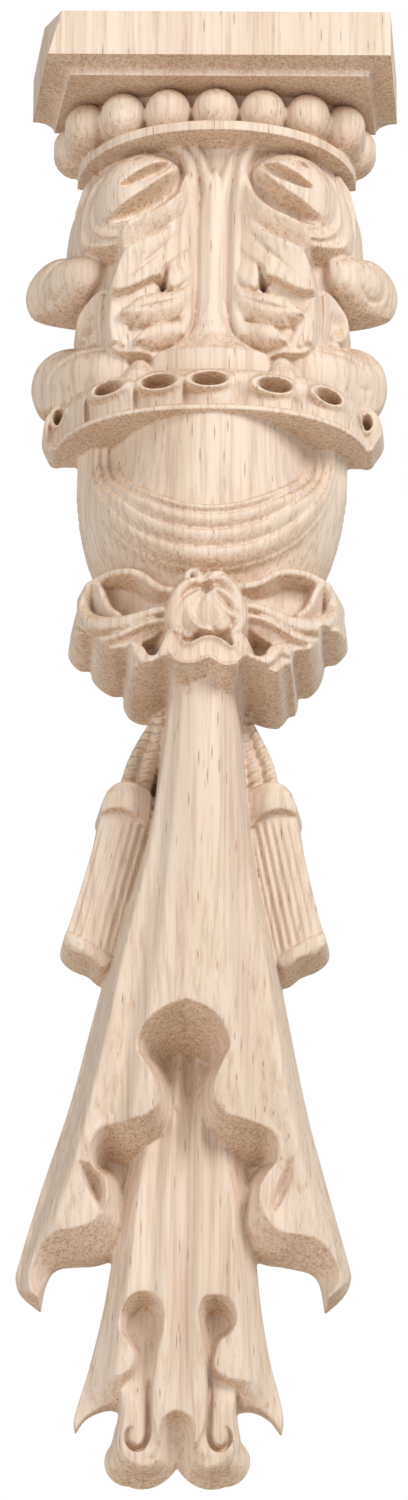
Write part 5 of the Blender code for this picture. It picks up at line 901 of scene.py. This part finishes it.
# Tassels: two cords, the cap and the skirt of the right-hand one
CORDS = [
    [(10.4, 12, 1.5, 8), (12.6, 5.6, 1.7, 9), (15, 0.6, 1.9, 9), (17.6, -5.6, 2.1, 9),
     (19.8, -14, 2.2, 8.5)],
    [(9.6, 12, 1.4, 10), (10.8, 5, 1.6, 10.5), (12, -1, 1.8, 10.5), (13.7, -7, 2.1, 10.5),
     (15.4, -15, 2.2, 9.5)]]
CAP = [(13, -15.6), (16.6, -13.6), (20.9, -13.4), (24, -15.4), (25.6, -19.2), (25.8, -21.6), (22.9, -21),
    (19.4, -21.6), (16.2, -23.2), (13.6, -25.4), (12.8, -21)]
SKIRT = [(13.6, -25.6), (16.4, -23), (19.6, -21.2), (22.9, -20.6), (25.6, -21.2), (27.4, -30), (30.2, -41.5),
    (32.8, -51), (34.2, -55.4), (34.2, -58), (31.6, -60.2), (27.6, -61.8), (23.4, -64.6), (20.4, -58),
    (17.2, -46)]
# Length of a cord's turn and width of a thread of the skirt
TWIST = 2.6
THREAD = 2.1
TASSEL_AXIS = 19.2


def tassels(c):
    """Twisted cords, and under them a cap and a skirt of threads"""
    for side in (1, -1):
        for path in CORDS:
            p = curve(sided(path, side), 90)
            w = c.around(p, 3)
            d, place, way = c.nearest(p, w)
            half = read(p, place, 2)
            roll = np.sqrt(np.clip(1 - (d / half) ** 2, 0, 1))
            length = np.concatenate([[0], np.cumsum(np.linalg.norm(np.diff(p[:, :2], axis=0), axis=1))])
            height = read(p, place, 3) * 0.6 + half * roll * 1.5 - 20 * np.maximum(0, d - half)
            turns = np.interp(place, np.arange(len(p)), length) / TWIST + 0.3 * np.sign(way) * d / half
            height = height + 0.55 * np.cos(2 * np.pi * turns) * roll
            c.D[w] = np.maximum(c.D[w], np.where(d < half, height, GROUND))

        def skirt(x, z):
            end_grain_and_shade = np.abs(x) - TASSEL_AXIS + (z + 20) * 0.225
            down = -z + 0.61 * (np.abs(x) - 23.4)
            rim = np.sqrt(np.clip(1 - ((down - 62.4) / 2.4) ** 2, 0, 1))
            height = 12.6 - 0.035 * end_grain_and_shade ** 2 + 1.2 * rim
            threads = np.cos(2 * np.pi * end_grain_and_shade / THREAD) * ease(-z, 22, 26) * (1 - ease(down, 58.5, 61))
            return height + 0.5 * threads

        def cap(x, z):
            band = np.clip(1 - ((z + 19) / 4.5) ** 2, 0, 1)
            return 14.6 - 0.06 * (np.abs(x) - TASSEL_AXIS) ** 2 + 1.2 * band

        c.plateau(smooth(sided(SKIRT, side), closed=True), skirt, steep=9, squash=0.9)
        c.plateau(smooth(sided(CAP, side), closed=True), cap, steep=7)


def carve():
    """The whole relief but for the top block, which is a mesh of its own"""
    c = Carving()
    tail(c)
    drape(c)
    bulb(c)
    bow(c)
    ruffle(c)
    tassels(c)
    capital(c)
    collar(c)
    beads(c)
    disc(c)
    return c


# Mesh of the top block
# How steeply the clipped corner runs, and how wide it is at the foot and at the top
CLIP_SLOPE = 2.1
CLIP_FOOT, CLIP_TOP = 0.2, 3.7
CAVETTO_STEPS = 5


def block_ring(z, inset):
    """The five corners of the block at one height, from its back left round to its back right"""
    clip = CLIP_FOOT + (CLIP_TOP - CLIP_FOOT) * min(max((z - FASCIA_FOOT) / 13, 0), 1)
    flare = (BLOCK_FRONT_LEFT - BLOCK_LEFT) / BLOCK_DEPTH
    clip_depth = BLOCK_DEPTH - clip * CLIP_SLOPE / (1 - CLIP_SLOPE * flare)
    return [(BLOCK_LEFT + inset - flare * OVERRUN, OVERRUN, z),
        (BLOCK_LEFT + inset + flare * clip_depth, inset - clip_depth, z),
        (BLOCK_FRONT_LEFT + inset + clip, inset - BLOCK_DEPTH, z),
        (BLOCK_FRONT_RIGHT - inset, inset - BLOCK_DEPTH, z), (BLOCK_RIGHT - inset + 0.2, OVERRUN, z)]


def block():
    angles = [0.5 * np.pi * k / CAVETTO_STEPS for k in range(CAVETTO_STEPS + 1)]
    cavetto = [(SOFFIT + (FASCIA_FOOT - SOFFIT) * np.sin(a), CAVETTO * np.cos(a)) for a in angles]
    rings = [block_ring(z, inset) for z, inset in cavetto] + [block_ring(TOP, 0)]
    return loft(rings)


def loft(rings):
    """A closed mesh through rings of equal length, from the lowest up"""
    build = bmesh.new()
    loops = [[build.verts.new([MM * value for value in point]) for point in ring] for ring in rings]
    size = len(rings[0])
    for low, high in zip(loops[:-1], loops[1:]):
        for k in range(size):
            build.faces.new((low[k], low[(k + 1) % size], high[(k + 1) % size], high[k]))
    build.faces.new(loops[0][::-1])
    build.faces.new(loops[-1])
    bmesh.ops.recalc_face_normals(build, faces=build.faces[:])
    mesh = bpy.data.meshes.new("block")
    build.to_mesh(mesh)
    build.free()
    return mesh


# Mesh of the relief
def relief_mesh(c):
    """The relief as the front of a slab that reaches behind the wall"""
    rows, columns = c.D.shape
    front = np.stack([c.X + LEAN * c.Z, -c.D, c.Z], axis=-1).reshape(-1, 3)
    index = np.arange(rows * columns).reshape(rows, columns)
    rim = np.concatenate([index[0, :-1], index[:-1, -1], index[-1, :0:-1], index[:0:-1, 0]])
    back = front[rim].copy()
    back[:, 1] = SLAB_BACK
    points = np.vstack([front, back]) * MM
    quads = np.stack([index[:-1, :-1], index[:-1, 1:], index[1:, 1:], index[1:, :-1]], axis=-1)
    quads = quads.reshape(-1, 4)
    behind = np.arange(len(rim)) + len(front)
    walls = np.stack([rim, behind, np.roll(behind, -1), np.roll(rim, -1)], axis=-1)
    corners = np.concatenate([quads.ravel(), walls.ravel(), behind[::-1]])
    sizes = np.concatenate([np.full(len(quads) + len(walls), 4), [len(rim)]])
    mesh = bpy.data.meshes.new("relief")
    mesh.vertices.add(len(points))
    mesh.vertices.foreach_set("co", points.ravel())
    mesh.loops.add(len(corners))
    mesh.loops.foreach_set("vertex_index", corners)
    mesh.polygons.add(len(sizes))
    mesh.polygons.foreach_set("loop_start", np.concatenate([[0], np.cumsum(sizes)[:-1]]))
    mesh.update(calc_edges=True)
    return mesh


# Half-width, depth and half-height of the box that cuts off what runs behind the wall
CUT_REACH, CUT_BACK, CUT_HEIGHT = 90, 40, 230


def helper(name, mesh):
    """An object that only serves a modifier, or waits for one"""
    item = bpy.data.objects.new(name, mesh)
    bpy.context.scene.collection.objects.link(item)
    item.hide_render = True
    item.display_type = "WIRE"
    return item


def result(item):
    """The mesh of an object with its modifiers applied"""
    bpy.context.view_layer.update()
    graph = bpy.context.evaluated_depsgraph_get()
    return bpy.data.meshes.new_from_object(item.evaluated_get(graph), depsgraph=graph)


def boolean(item, operation, other):
    """Joins an object with another, or cuts it by another"""
    step = item.modifiers.new(operation.lower(), "BOOLEAN")
    step.operation = operation
    step.solver = "EXACT"
    step.object = other


def one_body(mesh):
    """Drops the loose crumbs that lie beside the carving"""
    build = bmesh.new()
    build.from_mesh(mesh)
    build.verts.ensure_lookup_table()
    seen = set()
    groups = []
    for start in build.verts:
        if start.index in seen:
            continue
        seen.add(start.index)
        group = [start]
        for vert in group:
            for edge in vert.link_edges:
                near = edge.other_vert(vert)
                if near.index not in seen:
                    seen.add(near.index)
                    group.append(near)
        groups.append(group)
    groups.sort(key=len)
    for group in groups[:-1]:
        bmesh.ops.delete(build, geom=group, context="VERTS")
    bmesh.ops.triangulate(build, faces=build.faces[:])
    build.to_mesh(mesh)
    build.free()


def carved():
    """The relief, closed, smoothed and thinned, joined with its block and cut off flat at the wall"""
    body = helper("relief", relief_mesh(carve()))
    remesh = body.modifiers.new("even", "REMESH")
    remesh.mode = "VOXEL"
    remesh.voxel_size = VOXEL * MM
    even = result(body)
    thin = helper("thin", even)
    soften = thin.modifiers.new("soften", "SMOOTH")
    soften.factor = 0.5
    soften.iterations = 2
    decimate = thin.modifiers.new("thin", "DECIMATE")
    decimate.ratio = TRIANGLES / (2 * len(even.polygons))
    decimate.use_collapse_triangulate = True
    thinned = helper("thinned", result(thin))
    sides = [(-CUT_REACH, 0), (CUT_REACH, 0), (CUT_REACH, CUT_BACK), (-CUT_REACH, CUT_BACK)]
    behind = helper("behind", loft([[(x, y, z) for x, y in sides] for z in (-CUT_HEIGHT, CUT_HEIGHT)]))
    boolean(thinned, "UNION", helper("block", block()))
    boolean(thinned, "DIFFERENCE", behind)
    mesh = result(thinned)
    one_body(mesh)
    return mesh


# Bare wood
def node(tree, kind, **values):
    """A shader node with its inputs or settings"""
    item = tree.nodes.new(kind)
    for name, value in values.items():
        if name in item.inputs:
            item.inputs[name].default_value = value
        else:
            setattr(item, name, value)
    return item


def mapped(tree, place, scale):
    """The place on the wood, stretched so that what is drawn on it runs along the grain"""
    item = node(tree, "ShaderNodeMapping")
    item.inputs["Scale"].default_value = scale
    tree.links.new(place, item.inputs["Vector"])
    return item.outputs["Vector"]


def ramp(tree, value, stops):
    """A colour for each value, from stops of position and colour"""
    item = node(tree, "ShaderNodeValToRGB")
    for k, (position, colour) in enumerate(stops):
        stop = item.color_ramp.elements[k] if k < 2 else item.color_ramp.elements.new(position)
        stop.position = position
        stop.color = colour + (1.0,)
    tree.links.new(value, item.inputs["Fac"])
    return item.outputs["Color"]


def mix(tree, kind, amount, low, high):
    """Mixes two colours, or a colour and a link"""
    item = node(tree, "ShaderNodeMix", data_type="RGBA", blend_type=kind)
    for socket, value in ((item.inputs[0], amount), (item.inputs[6], low), (item.inputs[7], high)):
        if isinstance(value, bpy.types.NodeSocket):
            tree.links.new(value, socket)
        else:
            socket.default_value = value
    return item.outputs[2]


# Colours of the wood: face grain from dark to light bands, a tint where the surface is cut across the grain
# (partly the end grain's own darker tone, partly painted shade on the undersides), an open vessel
BANDS = ((0.30, (0.70, 0.565, 0.445)), (0.50, (0.765, 0.64, 0.525)), (0.72, (0.81, 0.70, 0.59)))
END_GRAIN_AND_SHADE_TINT = (0.90, 0.80, 0.69, 1.0)
VESSEL = (0.36, 0.21, 0.13, 1.0)
VESSEL_SHARE = 0.72
BLACK, WHITE = (0.0, 0.0, 0.0), (1.0, 1.0, 1.0)
# How fine each pattern is, across the grain twice and along it, and the pores of the end grain
BAND_SCALE = (75, 50, 6)
STREAK_SCALE = (700, 700, 22)
VESSEL_SCALE = (640, 640, 62)
PORE_SCALE = 1500.0


def wood():
    material = bpy.data.materials.new("bare_wood")
    material.use_nodes = True
    tree = material.node_tree
    shader = tree.nodes["Principled BSDF"]
    shader.inputs["Roughness"].default_value = 0.66
    shader.inputs["Specular IOR Level"].default_value = 0.22
    place = node(tree, "ShaderNodeTexCoord").outputs["Object"]
    # broad bands of the growth, then narrow streaks
    bands = node(tree, "ShaderNodeTexNoise", Scale=1.0, Detail=3.0, Roughness=0.55, Distortion=0.4)
    tree.links.new(mapped(tree, place, BAND_SCALE), bands.inputs["Vector"])
    streaks = node(tree, "ShaderNodeTexNoise", Scale=1.0, Detail=4.0, Roughness=0.65)
    tree.links.new(mapped(tree, place, STREAK_SCALE), streaks.inputs["Vector"])
    body = ramp(tree, bands.outputs["Fac"], BANDS)
    lines = ramp(tree, streaks.outputs["Fac"], [(0.32, (0.74, 0.64, 0.56)), (0.54, WHITE)])
    colour = mix(tree, "MULTIPLY", 0.75, body, lines)
    # how far the surface is cut across the grain, which runs upright: the faces that point up or down, which
    # the tint darkens and warms, partly as the end grain's own tone and partly as painted shade on the
    # undersides
    axes = node(tree, "ShaderNodeSeparateXYZ")
    tree.links.new(node(tree, "ShaderNodeNewGeometry").outputs["Normal"], axes.inputs[0])
    upright = node(tree, "ShaderNodeMath", operation="ABSOLUTE")
    tree.links.new(axes.outputs["Z"], upright.inputs[0])
    end_grain_and_shade = ramp(tree, upright.outputs[0], [(0.25, BLACK), (0.85, WHITE)])
    # the end grain tint: the end grain's own darker tone, together with painted shade that darkens and warms
    # the undersides
    colour = mix(tree, "MIX", end_grain_and_shade, colour, mix(tree, "MULTIPLY", 1.0, colour, END_GRAIN_AND_SHADE_TINT))
    # pores of the end grain
    pores = node(tree, "ShaderNodeTexNoise", Scale=PORE_SCALE, Detail=2.0, Roughness=0.6)
    tree.links.new(place, pores.inputs["Vector"])
    speckle = ramp(tree, pores.outputs["Fac"],
        [(0.36, (0.70, 0.58, 0.49)), (0.50, WHITE), (0.68, (1.08, 1.08, 1.08))])
    colour = mix(tree, "MIX", mix(tree, "MULTIPLY", 1.0, end_grain_and_shade, (0.8, 0.8, 0.8, 1.0)), colour,
        mix(tree, "MULTIPLY", 1.0, colour, speckle))
    # vessels: short dark dashes along the grain, which are dots where it is cut across
    vessels = node(tree, "ShaderNodeTexVoronoi", feature="F1", Scale=1.0, Randomness=1.0)
    tree.links.new(mapped(tree, place, VESSEL_SCALE), vessels.inputs["Vector"])
    pore = ramp(tree, vessels.outputs["Distance"], [(0.07, WHITE), (0.17, BLACK)])
    share = mix(tree, "MULTIPLY", 1.0, pore, (VESSEL_SHARE, VESSEL_SHARE, VESSEL_SHARE, 1.0))
    colour = mix(tree, "MIX", share, colour, VESSEL)
    tree.links.new(colour, shader.inputs["Base Color"])
    bump = node(tree, "ShaderNodeBump", Strength=0.35, Distance=0.00025)
    height = mix(tree, "MIX", 0.5, lines, mix(tree, "DIFFERENCE", 1.0, pore, (1.0, 1.0, 1.0, 1.0)))
    tree.links.new(height, bump.inputs["Height"])
    tree.links.new(bump.outputs["Normal"], shader.inputs["Normal"])
    return material


# The carving
SHARP_FROM = 42
shape = carved()
shape.name = "carved_moulding"
shape.materials.clear()
shape.materials.append(wood())
carving = bpy.data.objects.new("carved_moulding", shape)
bpy.context.scene.collection.objects.link(carving)
shape.shade_smooth()
shape.set_sharp_from_angle(angle=np.radians(SHARP_FROM))
for name in ("relief", "thin", "thinned", "behind", "block"):
    bpy.data.objects.remove(bpy.data.objects[name], do_unlink=True)
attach(carving, "root")
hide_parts("moulding")

# Floor and light, in metres
FLOOR, FLOOR_REACH = -0.72, 4.0
LIGHT_TARGET = (0, -0.02, 0)


def floor():
    mesh = bpy.data.meshes.new("floor")
    corners = [(x * FLOOR_REACH, y * FLOOR_REACH, FLOOR) for x, y in ((-1, -1), (1, -1), (1, 1), (-1, 1))]
    mesh.from_pydata(corners, [], [(0, 1, 2, 3)])
    item = bpy.data.objects.new("floor", mesh)
    bpy.context.scene.collection.objects.link(item)
    material = bpy.data.materials.new("floor_white")
    material.use_nodes = True
    shader = material.node_tree.nodes["Principled BSDF"]
    shader.inputs["Base Color"].default_value = (0.86, 0.86, 0.85, 1.0)
    shader.inputs["Roughness"].default_value = 0.9
    mesh.materials.append(material)


def lamp(name, place, size, power, colour):
    light = bpy.data.lights.new(name, "AREA")
    light.size = size
    light.energy = power
    light.color = colour
    item = bpy.data.objects.new(name, light)
    bpy.context.scene.collection.objects.link(item)
    item.location = place
    item.rotation_euler = (Vector(LIGHT_TARGET) - Vector(place)).to_track_quat("-Z", "Y").to_euler()


floor()
lamp("key", (0.85, -1.15, 0.75), size=0.7, power=18, colour=(1.0, 0.98, 0.955))
lamp("fill", (-1.0, -1.1, -0.3), size=1.2, power=8.5, colour=(1.0, 0.965, 0.92))
# White behind the part, and a softer light from all round
BACKDROP = 1.0
AMBIENT = 0.45
world = bpy.data.worlds.new("studio")
bpy.context.scene.world = world
world.use_nodes = True
background = world.node_tree.nodes["Background"]
background.inputs["Color"].default_value = (1.0, 1.0, 1.0, 1.0)
seen = node(world.node_tree, "ShaderNodeLightPath").outputs["Is Camera Ray"]
strength = node(world.node_tree, "ShaderNodeMapRange")
strength.inputs["To Min"].default_value = AMBIENT
strength.inputs["To Max"].default_value = BACKDROP
world.node_tree.links.new(seen, strength.inputs["Value"])
world.node_tree.links.new(strength.outputs["Result"], background.inputs["Strength"])

# Camera
CAMERA_TARGET = Vector((0.9, -15.0, -4.6)) * MM
CAMERA_DISTANCE = 1.5
CAMERA_RISE = np.radians(-20)
CAMERA_ROLL = np.radians(0.3)
LENS_PER_HEIGHT = 5655 / 1500
camera_data = bpy.data.cameras.new("camera")
camera_data.sensor_width = 36
camera_data.lens = 36 * LENS_PER_HEIGHT
camera_data.clip_start = 0.01
camera = bpy.data.objects.new("camera", camera_data)
bpy.context.scene.collection.objects.link(camera)
camera.location = CAMERA_TARGET + CAMERA_DISTANCE * Vector((0, -np.cos(CAMERA_RISE), np.sin(CAMERA_RISE)))
camera.rotation_euler = (np.radians(90) - CAMERA_RISE, 0, 0)
camera.rotation_euler.rotate_axis("Z", CAMERA_ROLL)
bpy.context.scene.camera = camera
bpy.context.scene.view_settings.view_transform = "Standard"
